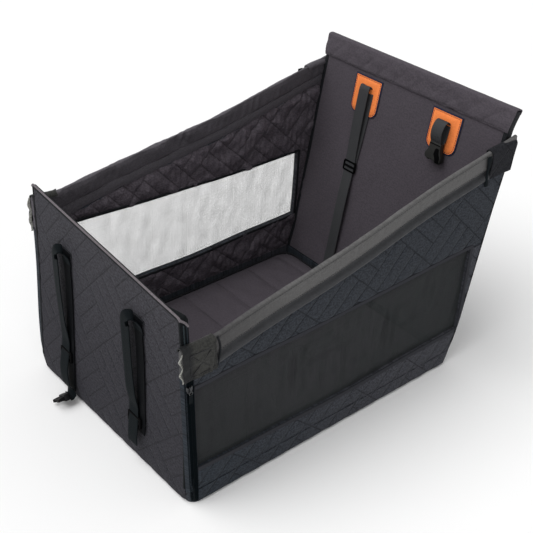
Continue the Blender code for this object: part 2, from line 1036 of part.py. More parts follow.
def build_front_straps(hinge, webbing, plastic):
    face = panel_thickness
    plug_height = -skirt_height + plug_floor_gap + plug_thickness / 2
    bend_low = plug_height + plug_bend_radius
    left = shifted(hanging_path(0, front_slot_height, bend_low, True), face)
    end = left[-1]
    bend = arc(
        (end[0] + plug_bend_radius, bend_low), plug_bend_radius, math.pi, 1.5 * math.pi
    )
    left += bend[1:]
    left.append((left[-1][0] + strap_lead, left[-1][1]))
    ribbon("front_left_strap", left, -1, front_left_strap_x, webbing, hinge)
    build_plug(
        front_left_strap_x, left[-1][0] + seam_gap, plug_height, hinge, plastic
    )
    right = shifted(hanging_path(0, front_slot_height, front_right_strap_end, True), face)
    ribbon("front_right_strap", right, -1, front_right_strap_x, webbing, hinge)
    for name, x in (("left", front_left_strap_x), ("right", front_right_strap_x)):
        build_triglide(
            f"front_{name}_triglide", face, -1, x, front_triglide_height, plastic, hinge
        )


def build_socket(centre_x, top, depth, hinge, material):
    """A side-release socket, hanging mouth down, with its two side windows."""
    half = socket_width / 2
    inner = half - socket_side
    xs = [centre_x + x for x in (-half, -inner, inner, half)]
    half_depth = socket_thickness / 2
    hollow = half_depth - socket_skin
    ys = [-depth + y for y in (-half_depth, -hollow, hollow, half_depth)]
    low = top - socket_length
    zs = [
        low,
        low + socket_window_start,
        low + socket_window_start + socket_window_length,
        low + socket_mouth_depth,
        top,
    ]

    def is_filled(i, j, k):
        if j != 1 or k == 3:
            return True
        if i == 1:
            return False
        return k != 1

    cell_solid("back_right_socket", xs, ys, zs, is_filled, material, hinge)


def build_back_straps(hinge, webbing, plastic):
    surface = seam_gap + patch_thickness
    tether = hanging_path(surface, back_slot_height, tether_end, True)
    ribbon("back_left_strap", tether, -1, -back_strap_x, webbing, hinge)
    build_triglide(
        "back_left_triglide", 0, -1, -back_strap_x, back_triglide_height, plastic, hinge
    )
    loop_low = back_slot_height - loop_length
    loop = hanging_path(surface, back_slot_height, loop_low, False)
    ribbon("back_right_strap", loop, -1, back_strap_x, webbing, hinge)
    build_socket(back_strap_x, loop_low - seam_gap, loop[-1][0], hinge, plastic)


def build():
    clear_scene()
    quilted = make_material("quilted_fabric", (0.045, 0.048, 0.056), 0.85)
    lining = make_material("lining_fabric", (0.050, 0.047, 0.055), 0.88)
    mesh_fabric = make_material("mesh_fabric", (0.030, 0.032, 0.035), 0.80)
    sleeve = make_material("sleeve_fabric", (0.060, 0.061, 0.065), 0.80)
    trim = make_material("trim_fabric", (0.085, 0.085, 0.090), 0.75)
    webbing = make_material("webbing", (0.018, 0.018, 0.021), 0.75)
    tape = make_material("zip_tape", (0.014, 0.020, 0.024), 0.70)
    metal = make_material("slider_metal", (0.050, 0.052, 0.055), 0.40, 0.9)
    plastic = make_material("buckle_plastic", (0.015, 0.015, 0.016), 0.45)
    board = make_material("board_plastic", (0.30, 0.30, 0.30), 0.60)
    foam = make_material("foam", (0.70, 0.70, 0.68), 0.95)
    orange = make_material("patch_orange", (0.85, 0.23, 0.035), 0.55)

    build_base(quilted, board)
    build_cushion(lining, trim)
    for name, side in (("right", 1), ("left", -1)):
        build_wall_bands(side, name, quilted, mesh_fabric)
        build_wall_zip(side, name, tape, metal, webbing)
        build_rail(side, name, sleeve, trim, webbing, foam)
        build_tab_and_flap(side, name, webbing, quilted)

    front = make_hinge("front_hinge", front_axis_y, front_lean)
    build_front_panel(front, (lining, board, quilted), trim)
    build_front_straps(front, webbing, plastic)

    back = make_hinge("back_hinge", back_axis_y, back_lean)
    build_back_panel(back, (lining, board, quilted), trim, quilted)
    build_patch("back_left_patch", -back_strap_x, back, orange)
    build_patch("back_right_patch", back_strap_x, back, orange)
    build_back_straps(back, webbing, plastic)


build()
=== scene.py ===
"""Looks of the dog car seat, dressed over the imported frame.

Metres, +Z up, front at -Y. A panel point is (across, out, up): across is X, out is the
distance away from the cabin from the panel's inner face, and up runs along the panel
from its fold. A wall point is (along, height): along is measured back from the front.
"""

import json
import math

import bmesh
import bpy
import numpy as np
from mathutils import Matrix, Vector


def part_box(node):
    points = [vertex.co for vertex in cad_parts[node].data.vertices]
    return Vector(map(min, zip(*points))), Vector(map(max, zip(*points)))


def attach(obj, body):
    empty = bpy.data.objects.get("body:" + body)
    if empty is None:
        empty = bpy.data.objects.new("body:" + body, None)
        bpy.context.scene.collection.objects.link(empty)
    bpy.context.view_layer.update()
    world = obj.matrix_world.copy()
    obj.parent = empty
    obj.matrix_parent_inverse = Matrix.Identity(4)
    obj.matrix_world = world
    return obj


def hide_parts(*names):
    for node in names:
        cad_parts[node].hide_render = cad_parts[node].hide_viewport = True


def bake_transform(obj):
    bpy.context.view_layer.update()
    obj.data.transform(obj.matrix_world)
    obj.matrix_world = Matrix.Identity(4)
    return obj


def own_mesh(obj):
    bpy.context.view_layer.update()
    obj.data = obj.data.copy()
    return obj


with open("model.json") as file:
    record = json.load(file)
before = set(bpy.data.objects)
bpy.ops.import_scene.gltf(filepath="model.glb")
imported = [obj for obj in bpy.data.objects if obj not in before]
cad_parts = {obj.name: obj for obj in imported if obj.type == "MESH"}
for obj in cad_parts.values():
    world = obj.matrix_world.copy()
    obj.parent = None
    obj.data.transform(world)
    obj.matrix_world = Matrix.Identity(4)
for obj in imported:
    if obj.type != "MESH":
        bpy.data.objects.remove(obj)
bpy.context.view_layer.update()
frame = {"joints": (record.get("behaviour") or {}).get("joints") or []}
joints = {joint["name"]: joint for joint in frame["joints"]}

# Sizes read from the frame
base_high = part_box("base_cover")[1]
half_width = base_high.x
half_length = base_high.y
skirt_height = joints["front_fold"]["pos_m"][2]
front_axis_y = joints["front_fold"]["pos_m"][1]
back_axis_y = joints["back_fold"]["pos_m"][1]
front_up = Vector(joints["front_left_triglide_slide"]["axis"])
back_up = Vector(joints["back_left_triglide_slide"]["axis"])
front_lean = math.atan2(front_up.y, front_up.z)
back_lean = math.atan2(back_up.y, back_up.z)
rear_slope = math.tan(back_lean)
panel_thickness = half_length + front_axis_y
panel_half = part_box("front_binding")[1].x
wall_thickness = half_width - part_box("right_rail_hem")[0].x
sleeve_low, sleeve_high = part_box("right_rail_sleeve")
sleeve_depth = sleeve_high.x - sleeve_low.x
sleeve_height = 0.033
front_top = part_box("front_binding")[1].z
back_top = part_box("back_top_flap")[1].z
front_span = (front_top - skirt_height - panel_thickness * math.sin(front_lean)) / math.cos(front_lean)
back_span = (back_top - skirt_height) / math.cos(back_lean)
tab_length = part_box("right_front_tab")[1].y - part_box("right_front_tab")[0].y
rail_front_height = sleeve_low.z + sleeve_height
rail_rear_height = sleeve_high.z
rail_rear = sleeve_high.y + half_length
rail_rise = (rail_rear_height - rail_front_height) / (rail_rear - tab_length)
cushion_low, cushion_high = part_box("floor_cushion")

# Quilting: blocks of three strips, turn and turn about, on the diagonal
strip_width = 0.0316
strips_in_block = 3
puff = 0.0019
puff_reach = 0.0042
seam_sink = 0.0007
right_lower_phase = (0.157, -0.070)
right_upper_phase = (0.6555, -0.088)
left_phase = (0.636, 0.059)
front_phase = (0.335, 0.020)
back_phase = (0.120, 0.010)

# The finest grids: a wall's and a panel's
quilt_step = 0.0027
panel_step = 0.0028

# Rounded corners: wider at the floor
corner_floor_radius = 0.032
corner_upright_radius = 0.010
corner_top = 0.060
corner_room = 0.0012


# Places


def front_place(across, out, up):
    """World points on the front panel, which leans in as it rises; upright below its fold."""
    across, out, up = np.broadcast_arrays(across, out, up)
    above = np.maximum(up, 0)
    below = np.minimum(up, 0)
    share = across / panel_half
    risen = (above / front_span) ** front_twist_power
    thinned = front_taper_share * smooth(front_span - front_taper_height, front_span, up)
    thinned = thinned * (1 - smooth(front_taper_keep, panel_half, across))
    out = out + np.clip(panel_thickness - out, 0, panel_thickness) * thinned
    y = front_axis_y - out * math.cos(front_lean) + above * math.sin(front_lean)
    z = skirt_height + out * math.sin(front_lean) + above * math.cos(front_lean) + below
    y = y - front_twist_out * risen * (share + 1) / 2
    z = z + risen * (front_lift - front_twist_down * share)
    return np.stack([across, y, z], axis=-1)


def back_point(across, out, up):
    """World points on the back panel, which leans out as it rises; upright below its fold."""
    across, out, up = np.broadcast_arrays(across, out, up)
    above = np.maximum(up, 0)
    below = np.minimum(up, 0)
    y = back_axis_y + out * math.cos(back_lean) + above * math.sin(back_lean)
    z = skirt_height - out * math.sin(back_lean) + above * math.cos(back_lean) + below
    share = across / panel_half
    risen = (above / back_span) ** 2
    corner = smooth(back_span - back_corner_height, back_span, up)
    x = across + back_corner_out * corner * np.maximum(share, 0)
    y = y + rear_bow(above * math.cos(back_lean)) - risen * back_left_less * (1 - share) / 2
    z = z + risen * back_lift_left * (1 - share) / 2
    return np.stack([x, y, z], axis=-1)


# The back panel's top bows out behind, its right corner most
back_corner_out = 0.006
back_corner_height = 0.045
back_left_less = 0.0042
back_lift_left = 0.002


def front_point(across, out, up):
    return settle(front_place(across, out, up))


def settle(points):
    """The seat's left front corner has settled forward and in at the floor."""
    x, y, z = points[..., 0], points[..., 1], points[..., 2]
    left = np.clip((half_width - x) / (2 * half_width), 0, 1)
    front = smooth(-settle_room, -half_length, y)
    low = 1 - smooth(0.0, settle_height, z)
    amount = left * front * low
    moved_x = x + settle_in * amount * left
    return np.stack([moved_x, y - settle_out * amount, z], axis=-1)


settle_out = 0.0165
settle_in = 0.0160
settle_room = 0.060
settle_height = 0.300


# The front panel stands a little twisted: its right top corner forward and down
front_twist_out = 0.011
front_twist_down = 0.006
front_lift = 0.002
front_twist_power = 2.5
front_taper_share = 0.62
front_taper_height = 0.070
front_taper_keep = panel_half - 0.045


def rear_edge(height):
    """Where the wall's leaning rear edge is, measured back from the front."""
    above = np.maximum(height, skirt_height) - skirt_height
    return 2 * half_length + above * rear_slope + rear_bow(above)


def rear_bow(above):
    """How far the seat's rear bows out behind its own straight lean."""
    return rear_bow_foot * smooth(0.0, 0.06, above) + rear_bow_slope * above


rear_bow_foot = 0.0040
rear_bow_slope = 0.0125


def rail_top(along):
    return rail_front_height + np.maximum(0, along - tab_length) * rail_rise


def rail_end(drop):
    """Where a line that far under the rail's top meets the rear edge."""
    start = rail_front_height - tab_length * rail_rise - drop
    top = start - skirt_height
    slope = rear_slope + rear_bow_slope
    return (2 * half_length + rear_bow_foot + top * slope) / (1 - rail_rise * slope)


def plan_radius(height):
    share = np.clip(1 - height / corner_top, 0, 1)
    return corner_upright_radius + (corner_floor_radius - corner_upright_radius) * share**2


def round_corners(points):
    """Draws points near the four upright edges in to a radius, seen from above."""
    x, y, z = points[..., 0], points[..., 1], points[..., 2]
    radius = plan_radius(z)
    middle_x = half_width - radius
    front_y = radius - half_length
    rear_y = rear_edge(z) - half_length - radius
    dx = np.maximum(np.abs(x) - middle_x, 0)
    middle_y = np.where(y < front_y, front_y, rear_y)
    dy = np.where((y < front_y) | (y > rear_y), y - middle_y, 0)
    reach = np.hypot(dx, dy)
    drawn = (dx > 0) & (dy != 0) & (reach > radius)
    shrink = np.where(drawn, np.minimum(reach, radius + corner_room * (dx + abs(dy) - reach)
        / np.maximum(reach, 1e-9)) / np.maximum(reach, 1e-9), 1)
    new_x = np.where(drawn, np.sign(x) * (middle_x + dx * shrink), x)
    new_y = np.where(drawn, middle_y + dy * shrink, y)
    return settle(np.stack([new_x, new_y, z], axis=-1))


def wall_lean(side, along, height):
    """How far the soft wall strays outward, and how far its upper part stands up."""
    held = smooth(0.03, 0.10, height) * smooth(0.0, 0.06, along)
    stray = 0.0016 * waves(along, height, 0.26, 40 + side) * held
    lift = 0.0
    if side < 0:
        raised = np.maximum(0, 1 - along / left_rail_level)
        lift = left_rail_lift * raised * smooth(0.20, 0.32, height)
    return stray, lift


left_rail_lift = 0.032
left_rail_level = 0.42
left_lean_fade = 0.085


def wall_place(side, depth, along, height):
    """World points on a side wall; depth is measured outward from its inner face."""
    depth, along, height = np.broadcast_arrays(depth, along, height)
    stray, lift = wall_lean(side, along, height)
    if side < 0:
        back = np.maximum(height - skirt_height, 0) * math.tan(front_lean)
        along = along + back * (1 - smooth(0.0, left_lean_fade, along))
    x = side * (half_width - wall_thickness + depth + stray)
    return np.stack([x, along - half_length, height + lift], axis=-1)


def wall_point(side, depth, along, height):
    return settle(wall_place(side, depth, along, height))


def waves(a, b, wavelength, seed):
    """Smooth noise from a few sine waves in seeded directions, about -1 to 1."""
    random = np.random.default_rng(seed)
    total = 0
    for _ in range(wave_count):
        heading = random.uniform(0, math.pi)
        length = wavelength * random.uniform(0.6, 1.6)
        phase = random.uniform(0, 2 * math.pi)
        total = total + np.sin(
            2 * math.pi * (a * math.cos(heading) + b * math.sin(heading)) / length + phase
        )
    return total / math.sqrt(wave_count)


wave_count = 7


def smooth(low, high, value):
    share = np.clip((value - low) / (high - low), 0, 1)
    return share * share * (3 - 2 * share)


def pattern(a, b, phase):
    """The quilting's own coordinates, in which one of its blocks starts at zero."""
    return a - (phase[0] - phase[1]) / 2, b - (phase[0] + phase[1]) / 2


def quilt_distance(a, b):
    """Distance from the nearest line of stitching."""
    scale = 1 / (math.sqrt(2) * strip_width)
    p = (a + b) * scale
    q = (b - a) * scale
    block = np.floor(p / strips_in_block) + np.floor(q / strips_in_block)
    p_line = np.abs(p - np.round(p))
    q_line = np.abs(q - np.round(q))
    p_edge = np.abs(p - strips_in_block * np.round(p / strips_in_block))
    q_edge = np.abs(q - strips_in_block * np.round(q / strips_in_block))
    inner = np.where(block % 2 == 0, p_line, q_line)
    return np.minimum(np.minimum(p_edge, q_edge), inner) * strip_width


def quilt_height(a, b, seed):
    """How far the padding stands off its stitching, with small puckers beside it."""
    distance = quilt_distance(a, b)
    rise = puff * (1 - np.exp(-distance / puff_reach))
    pucker = 0.00025 * waves(a, b, 0.011, seed) * np.exp(-distance / 0.010)
    loose = 0.00035 * waves(a, b, 0.050, seed + 1)
    return rise + pucker + loose


# Meshes


def paired(*parts):
    """Arrays side by side, along a new last axis."""
    return np.stack(np.broadcast_arrays(*parts), axis=-1)


def run_along(points):
    """How far along a line of points each of them is."""
    steps = np.linalg.norm(np.diff(points, axis=0), axis=1)
    return np.concatenate([[0], np.cumsum(steps)])


def headings(points):
    """Unit directions along a line of close points."""
    ahead = np.gradient(points, axis=0)
    return ahead / np.linalg.norm(ahead, axis=1)[:, None]


def beside(points):
    """Unit normals to the left of a flat line of close points."""
    ahead = headings(points)
    return np.stack([-ahead[:, 1], ahead[:, 0]], axis=-1)


def fuller(value, power):
    """A sine or cosine made squarer."""
    return np.sign(value) * np.abs(value) ** power


def full_turn(count):
    return np.linspace(0, 2 * math.pi, count, endpoint=False)


def mesh_piece(name, vertices, faces, uvs=None):
    mesh = bpy.data.meshes.new(name)
    mesh.from_pydata([tuple(v) for v in vertices], [], faces)
    if uvs is not None:
        layer = mesh.uv_layers.new(name="cloth")
        corner = np.zeros(len(mesh.loops), dtype=np.int32)
        mesh.loops.foreach_get("vertex_index", corner)
        layer.data.foreach_set("uv", np.asarray(uvs, dtype=np.float32)[corner].ravel())
    mesh.update()
    piece = bpy.data.objects.new(name, mesh)
    bpy.context.scene.collection.objects.link(piece)
    return piece


def grid_faces(rows, columns, start=0, flip=False, wrap=False):
    """A grid's faces; wrap joins its last column to its first."""
    faces = []
    for here in range(start, start + (rows - 1) * columns, columns):
        there = here + columns
        for j in range(columns if wrap else columns - 1):
            after = (j + 1) % columns
            face = [here + j, here + after, there + after, there + j]
            faces.append(face[::-1] if flip else face)
    return faces


def slab(name, outer, inner, uv):
    """A closed sheet with thickness: two grids of points joined round their rims."""
    rows, columns = outer.shape[:2]
    count = rows * columns
    faces = grid_faces(rows, columns) + grid_faces(rows, columns, count, flip=True)
    rim = [(0, j) for j in range(columns - 1)]
    rim += [(i, columns - 1) for i in range(rows - 1)]
    rim += [(rows - 1, j) for j in range(columns - 1, 0, -1)]
    rim += [(i, 0) for i in range(rows - 1, 0, -1)]
    for number, (i, j) in enumerate(rim):
        next_i, next_j = rim[(number + 1) % len(rim)]
        here = i * columns + j
        there = next_i * columns + next_j
        faces.append([there, here, here + count, there + count])
    vertices = np.concatenate([outer.reshape(-1, 3), inner.reshape(-1, 3)])
    flat = uv.reshape(-1, 2)
    return mesh_piece(name, vertices, faces, np.concatenate([flat, flat]))


def tube(name, rings, uv=None):
    """Rings of points bridged in turn, with capped ends."""
    rows, columns = rings.shape[:2]
    faces = grid_faces(rows, columns, wrap=True)
    faces.append(list(range(columns))[::-1])
    faces.append([(rows - 1) * columns + j for j in range(columns)])
    flat = None if uv is None else uv.reshape(-1, 2)
    return mesh_piece(name, rings.reshape(-1, 3), faces, flat)


def face_out(piece):
    """Turns every face outward."""
    shape = bmesh.new()
    shape.from_mesh(piece.data)
    bmesh.ops.recalc_face_normals(shape, faces=shape.faces)
    shape.to_mesh(piece.data)
    shape.free()
    return piece


# Materials


class Graph:
    """A material's nodes, with short ways to chain them."""

    def __init__(self, name, roughness, specular=0.35, metallic=0.0, sheen=0.0):
        self.material = bpy.data.materials.new(name)
        self.material.use_nodes = True
        self.nodes = self.material.node_tree.nodes
        self.links = self.material.node_tree.links
        self.shader = self.place(self.nodes["Principled BSDF"], {
            "Roughness": roughness, "Specular IOR Level": specular, "Metallic": metallic,
            "Sheen Weight": sheen, "Sheen Roughness": 0.4,
        })
        self.coordinates = self.add("TexCoord")

    def place(self, node, values):
        """Sets or links a node's inputs."""
        for key, value in values.items():
            if isinstance(value, bpy.types.NodeSocket):
                self.links.new(value, node.inputs[key])
            else:
                node.inputs[key].default_value = value
        return node

    def add(self, kind, **values):
        """A new node; an input's name is its keyword, with _ for its spaces."""
        node = self.nodes.new(f"ShaderNode{kind}")
        return self.place(node, {key.replace("_", " "): value for key, value in values.items()})

    def math(self, operation, *values, clamp=False):
        node = self.add("Math")
        node.operation = operation
        node.use_clamp = clamp
        return self.place(node, dict(enumerate(values))).outputs[0]

    def mix(self, factor, first, second, blend="MIX"):
        node = self.add("Mix")
        node.data_type = "RGBA"
        node.blend_type = blend
        first = (*first, 1.0) if isinstance(first, tuple) else first
        second = (*second, 1.0) if isinstance(second, tuple) else second
        return self.place(node, {0: factor, 6: first, 7: second}).outputs[2]

    def noise(self, vector, scale, detail, roughness=0.55, stretch=None):
        if stretch:
            vector = self.add("Mapping", Scale=stretch, Vector=vector).outputs[0]
        node = self.add("TexNoise", Scale=scale, Detail=detail, Roughness=roughness, Vector=vector)
        return node.outputs["Fac"]

    def split(self, vector):
        return self.add("SeparateXYZ", Vector=vector).outputs

    def spread(self, value, low, high):
        """The value stretched so that low becomes 0 and high becomes 1."""
        return self.add("MapRange", From_Min=low, From_Max=high, Value=value).outputs[0]

    def wave(self, value, pitch):
        """A sine of a length, 0 to 1."""
        turned = self.math("MULTIPLY", value, 2 * math.pi / pitch)
        return self.math("MULTIPLY_ADD", self.math("SINE", turned), 0.5, 0.5)

    def bump(self, height, strength, distance, under=None):
        node = self.add("Bump", Strength=strength, Distance=distance, Height=height)
        if under:
            self.place(node, {"Normal": under})
        return node.outputs[0]

    def done(self, colour, normal=None, roughness=None):
        values = {"Base Color": colour, "Normal": normal, "Roughness": roughness}
        self.place(self.shader, {key: value for key, value in values.items() if value})
        return self.material


def shade(colour, amount):
    return tuple(min(1.0, channel * amount) for channel in colour)


def stitch_line(graph, a, b):
    """1 on the quilting's stitches and 0 off them, from the cloth's own coordinates."""
    scale = 1 / (math.sqrt(2) * strip_width)
    p = graph.math("MULTIPLY", graph.math("ADD", a, b), scale)
    q = graph.math("MULTIPLY", graph.math("SUBTRACT", b, a), scale)
    block_p = graph.math("FLOOR", graph.math("DIVIDE", p, float(strips_in_block)))
    block_q = graph.math("FLOOR", graph.math("DIVIDE", q, float(strips_in_block)))
    odd = graph.math("PINGPONG", graph.math("ADD", block_p, block_q), 1.0)
    p_line = graph.math("PINGPONG", p, 0.5)
    q_line = graph.math("PINGPONG", q, 0.5)
    inner = graph.math(
        "ADD", graph.math("MULTIPLY", p_line, graph.math("SUBTRACT", 1.0, odd)),
        graph.math("MULTIPLY", q_line, odd),
    )
    edge = graph.math(
        "MINIMUM", graph.math("PINGPONG", p, strips_in_block / 2),
        graph.math("PINGPONG", q, strips_in_block / 2),
    )
    nearest = graph.math("MINIMUM", inner, edge)
    near, far = 0.014, 0.055
    return graph.spread(nearest, far, near)


def cloth(name, colour, roughness=0.85, fleck=0.34, weave=0.0012, line=0.0, sheen=0.02,
          specular=0.12, fade=None):
    """Woven cloth: flecked yarn, a fine weave, a little unevenness, and quilting if asked."""
    graph = Graph(name, roughness, specular=specular, sheen=sheen)
    where = graph.coordinates.outputs["UV"]
    a, b, _ = graph.split(where)
    yarn = graph.noise(where, 280.0, 2.0, 0.7)
    streaks = graph.noise(where, 90.0, 2.0, 0.6, stretch=(1.0, 5.0, 1.0))
    cloudy = graph.noise(where, 9.0, 3.0, 0.6)
    flecked = graph.math("ADD", yarn, graph.math("MULTIPLY", streaks, 0.5))
    tone = graph.spread(flecked, 0.65, 0.85)
    base = graph.mix(tone, shade(colour, 1 - fleck), shade(colour, 1 + fleck))
    cloud = graph.spread(cloudy, 0.3, 0.7)
    base = graph.mix(graph.math("MULTIPLY", cloud, 0.30), base, shade(colour, 1.22))
    # A tint multiplied in along one of the cloth's coordinates; on the front panel, the right rail and the
    # tab it is painted shade.
    if fade:
        place, start, end, tint = fade
        share = graph.spread((a, b)[place], start, end)
        base = graph.mix(graph.math("MULTIPLY", share, 1.0, clamp=True), base, tint, "MULTIPLY")
    weave_height = graph.math("MULTIPLY", graph.wave(a, weave), graph.wave(b, weave))
    normal = graph.bump(weave_height, 0.35, 0.0003)
    crumple = graph.noise(where, 70.0, 4.0, 0.6)
    normal = graph.bump(crumple, 0.25, 0.0012, normal)
    if line:
        mask = stitch_line(graph, a, b)
        base = graph.mix(graph.math("MULTIPLY", mask, line), base, shade(colour, 0.25))
        normal = graph.bump(graph.math("SUBTRACT", 1.0, mask), 0.7, 0.0010, normal)
    return graph.done(base, normal)


def webbing_material(name, colour, roughness=0.62, edge=0.0012, width=0.030, specular=0.07):
    """Flat webbing: ribs across it, a fine herringbone along it and darker selvages."""
    graph = Graph(name, roughness, specular=specular, sheen=0.0)
    where = graph.coordinates.outputs["UV"]
    a, b, _ = graph.split(where)
    rib = graph.wave(b, 0.0016)
    lengthwise = graph.wave(a, 0.0030)
    height = graph.math("ADD", rib, graph.math("MULTIPLY", lengthwise, 0.6))
    normal = graph.bump(height, 0.3, 0.0004)
    yarn = graph.noise(where, 700.0, 2.0, 0.6)
    tone = graph.math("ADD", graph.math("MULTIPLY", height, 0.35), yarn)
    base = graph.mix(graph.spread(tone, 0.4, 1.2), shade(colour, 0.72), shade(colour, 1.25))
    from_edge = graph.math("SUBTRACT", width / 2, graph.math("ABSOLUTE", a))
    selvage = graph.spread(from_edge, edge * 1.6, edge)
    base = graph.mix(graph.math("MULTIPLY", selvage, 0.5), base, shade(colour, 0.45))
    return graph.done(base, normal)


def moulded(name, colour, roughness, specular=0.13):
    """Moulded plastic with a fine grain and its convex edges made a little lighter."""
    graph = Graph(name, roughness, specular=specular)
    where = graph.coordinates.outputs["Object"]
    grain = graph.noise(where, 1400.0, 2.0, 0.5)
    patchy = graph.noise(where, 60.0, 3.0, 0.6)
    geometry = graph.add("NewGeometry")
    lighter_edges = graph.spread(geometry.outputs["Pointiness"], 0.52, 0.60)
    base = graph.mix(graph.spread(patchy, 0.3, 0.7), shade(colour, 0.85), shade(colour, 1.15))
    base = graph.mix(graph.math("MULTIPLY", lighter_edges, 0.30), base, shade(colour, 1.6))
    rough = graph.math("MULTIPLY_ADD", patchy, 0.16, roughness - 0.08)
    return graph.done(base, graph.bump(grain, 0.12, 0.0002), rough)


def metal(name, colour, roughness):
    graph = Graph(name, roughness, metallic=0.9)
    where = graph.coordinates.outputs["Object"]
    scratches = graph.noise(where, 600.0, 3.0, 0.6, stretch=(1.0, 1.0, 0.15))
    base = graph.mix(scratches, shade(colour, 0.8), shade(colour, 1.2))
    rough = graph.math("MULTIPLY_ADD", scratches, 0.2, roughness - 0.1)
    return graph.done(base, graph.bump(scratches, 0.08, 0.0002), rough)


def speckled(name, colour, roughness, scale, contrast):
    """Board, foam and other inner stuff."""
    graph = Graph(name, roughness)
    where = graph.coordinates.outputs["Object"]
    speck = graph.noise(where, scale, 3.0, 0.6)
    base = graph.mix(
        graph.spread(speck, 0.35, 0.65), shade(colour, 1 - contrast), shade(colour, 1 + contrast)
    )
    return graph.done(base, graph.bump(speck, 0.2, 0.0004))


quilt_colour = (0.044, 0.045, 0.053)
inner_colour = (0.079, 0.068, 0.081)
lining_colour = (0.072, 0.063, 0.074)
rail_colour = (0.096, 0.094, 0.094)
hem_colour = (0.038, 0.039, 0.042)
binding_colour = (0.010, 0.011, 0.013)
# The front straps' webbing: its teal tint is its own, its darkness partly painted shade, for legs that hang
# turned from the light.
webbing_colour_with_painted_shade = (0.0066, 0.0088, 0.0102)
orange_colour = (1.0, 0.255, 0.070)

quilt = cloth("quilt", quilt_colour, fleck=0.40, line=0.5, fade=(0, 0.35, -0.10, (0.52, 0.62, 0.66)))
# A darker copy of the quilt for the right wall's upper band: painted shade under the rail.
quilt_upper_painted_shade = cloth("quilt_upper_painted_shade", (0.0282, 0.0315, 0.0382), fleck=0.40, line=0.5)
quilt_inner = cloth("quilt_inner", inner_colour, 0.62, line=0.45, sheen=0.05, specular=0.20)
# The front panel's cloth darkens towards the bottom: painted shade.
quilt_front = cloth(
    "quilt_front", (0.0365, 0.0355, 0.0420), fleck=0.46, line=0.38, fade=(1, 0.17, -0.08, (0.66, 0.66, 0.69))
)
flap_cloth = cloth("flap_cloth", shade(quilt_colour, 0.36), line=0.3, specular=0.08)
top_flap_cloth = cloth("top_flap_cloth", lining_colour, fleck=0.16)
lining = cloth("lining", lining_colour, fleck=0.14)
pad_cloth = cloth("pad_cloth", lining_colour, fleck=0.12)
# The right rail's cloth darkens towards its front end: painted shade.
rail_cloth = cloth(
    "rail_cloth", rail_colour, 0.62, fleck=0.14, sheen=0.06, fade=(0, 0.22, 0.08, (0.64, 0.64, 0.65))
)
hem_cloth = cloth("hem_cloth", hem_colour, 0.55, fleck=0.10, sheen=0.08)
window_cloth = webbing_material("window_cloth", shade(quilt_colour, 0.7), 0.8, edge=0.0010, width=0.0088)
rail_inner = cloth("rail_inner", (0.078, 0.072, 0.082), 0.6, fleck=0.16, sheen=0.05)
zip_teeth = cloth("zip_teeth", (0.0026, 0.0042, 0.0054), 0.6, fleck=0.1, sheen=0.0, specular=0.04)
pad_piping = cloth("pad_piping", (0.012, 0.012, 0.014), 0.7)
navy_cord = cloth("navy_cord", (0.0100, 0.0150, 0.0200), 0.5)
binding_cloth = cloth("binding_cloth", binding_colour, 0.7, weave=0.0009)
piping_cloth = cloth("piping_cloth", (0.135, 0.120, 0.130), 0.7, fleck=0.20)
end_cloth = cloth("end_cloth", (0.0045, 0.0055, 0.0065), 0.7, specular=0.06)
teal_cord = cloth("teal_cord", (0.0180, 0.0260, 0.0300), 0.6)
base_cloth = cloth("base_cloth", (0.022, 0.022, 0.025), 0.9)
webbing = webbing_material("webbing", webbing_colour_with_painted_shade, specular=0.025)
back_webbing = webbing_material("back_webbing", (0.050, 0.051, 0.054))
# Near-black webbing for the front straps' under legs: painted shadow of the legs hanging over them.
webbing_under = webbing_material("webbing_under", (0.0030, 0.0034, 0.0042), specular=0.03)
# The tab's cloth darkens at its front end, where it curls round the corner: painted shade.
tab_webbing = cloth(
    "tab_webbing", (0.029, 0.029, 0.027), 0.5, fleck=0.30, sheen=0.04,
    fade=(0, 0.021, 0.013, (0.34, 0.36, 0.42)),
)
hook_tape = cloth("hook_tape", (0.27, 0.27, 0.25), 0.9, fleck=0.35)
zip_tape = cloth("zip_tape", (0.0014, 0.0028, 0.0038), 0.75, weave=0.0008, sheen=0.0, specular=0.02)
mesh_thread = speckled("mesh_thread", (0.0095, 0.0120, 0.0130), 0.7, 800.0, 0.2)
orange = cloth("orange", orange_colour, 0.55, fleck=0.08, weave=0.0010, sheen=0.03)
thread = speckled("thread", (0.012, 0.012, 0.014), 0.7, 900.0, 0.2)
navy_edge = cloth("navy_edge", (0.016, 0.020, 0.045), 0.7)
plastic = moulded("plastic", (0.0065, 0.0065, 0.0072), 0.5)
# Near-black plastic: the slides' and the socket rib's own colour, and painted shade on the socket's window.
black_plastic_and_painted_shade = moulded("black_plastic_and_painted_shade", (0.0016, 0.0016, 0.0018), 0.7, 0.03)
socket_plastic = moulded("socket_plastic", (0.018, 0.018, 0.017), 0.5, 0.20)
slider_metal = metal("slider_metal", (0.055, 0.057, 0.060), 0.34)
board = speckled("board", (0.30, 0.30, 0.30), 0.6, 200.0, 0.12)


# Side walls and what is sewn to them

sides = ((1, "right"), (-1, "left"))


def on_wall(piece, *nodes, slot, body="base", fill=None):
    """A soft wall piece: it rides on the base, unless another body is given."""
    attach(piece, body)
    if nodes:
        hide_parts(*nodes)
    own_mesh(piece)
    return piece


def dress(piece, material, sharp=None):
    """Turns a piece's faces outward, smooths them and gives them their material."""
    face_out(piece)
    for polygon in piece.data.polygons:
        polygon.use_smooth = True
    if sharp:
        piece.data.set_sharp_from_angle(angle=math.radians(sharp))
    piece.data.materials.append(material)
    return piece


def second_cloth(piece, material, chosen):
    """Gives the chosen faces of a piece a second material."""
    piece.data.materials.append(material)
    for polygon in piece.data.polygons:
        if chosen(polygon):
            polygon.material_index = 1
    return piece


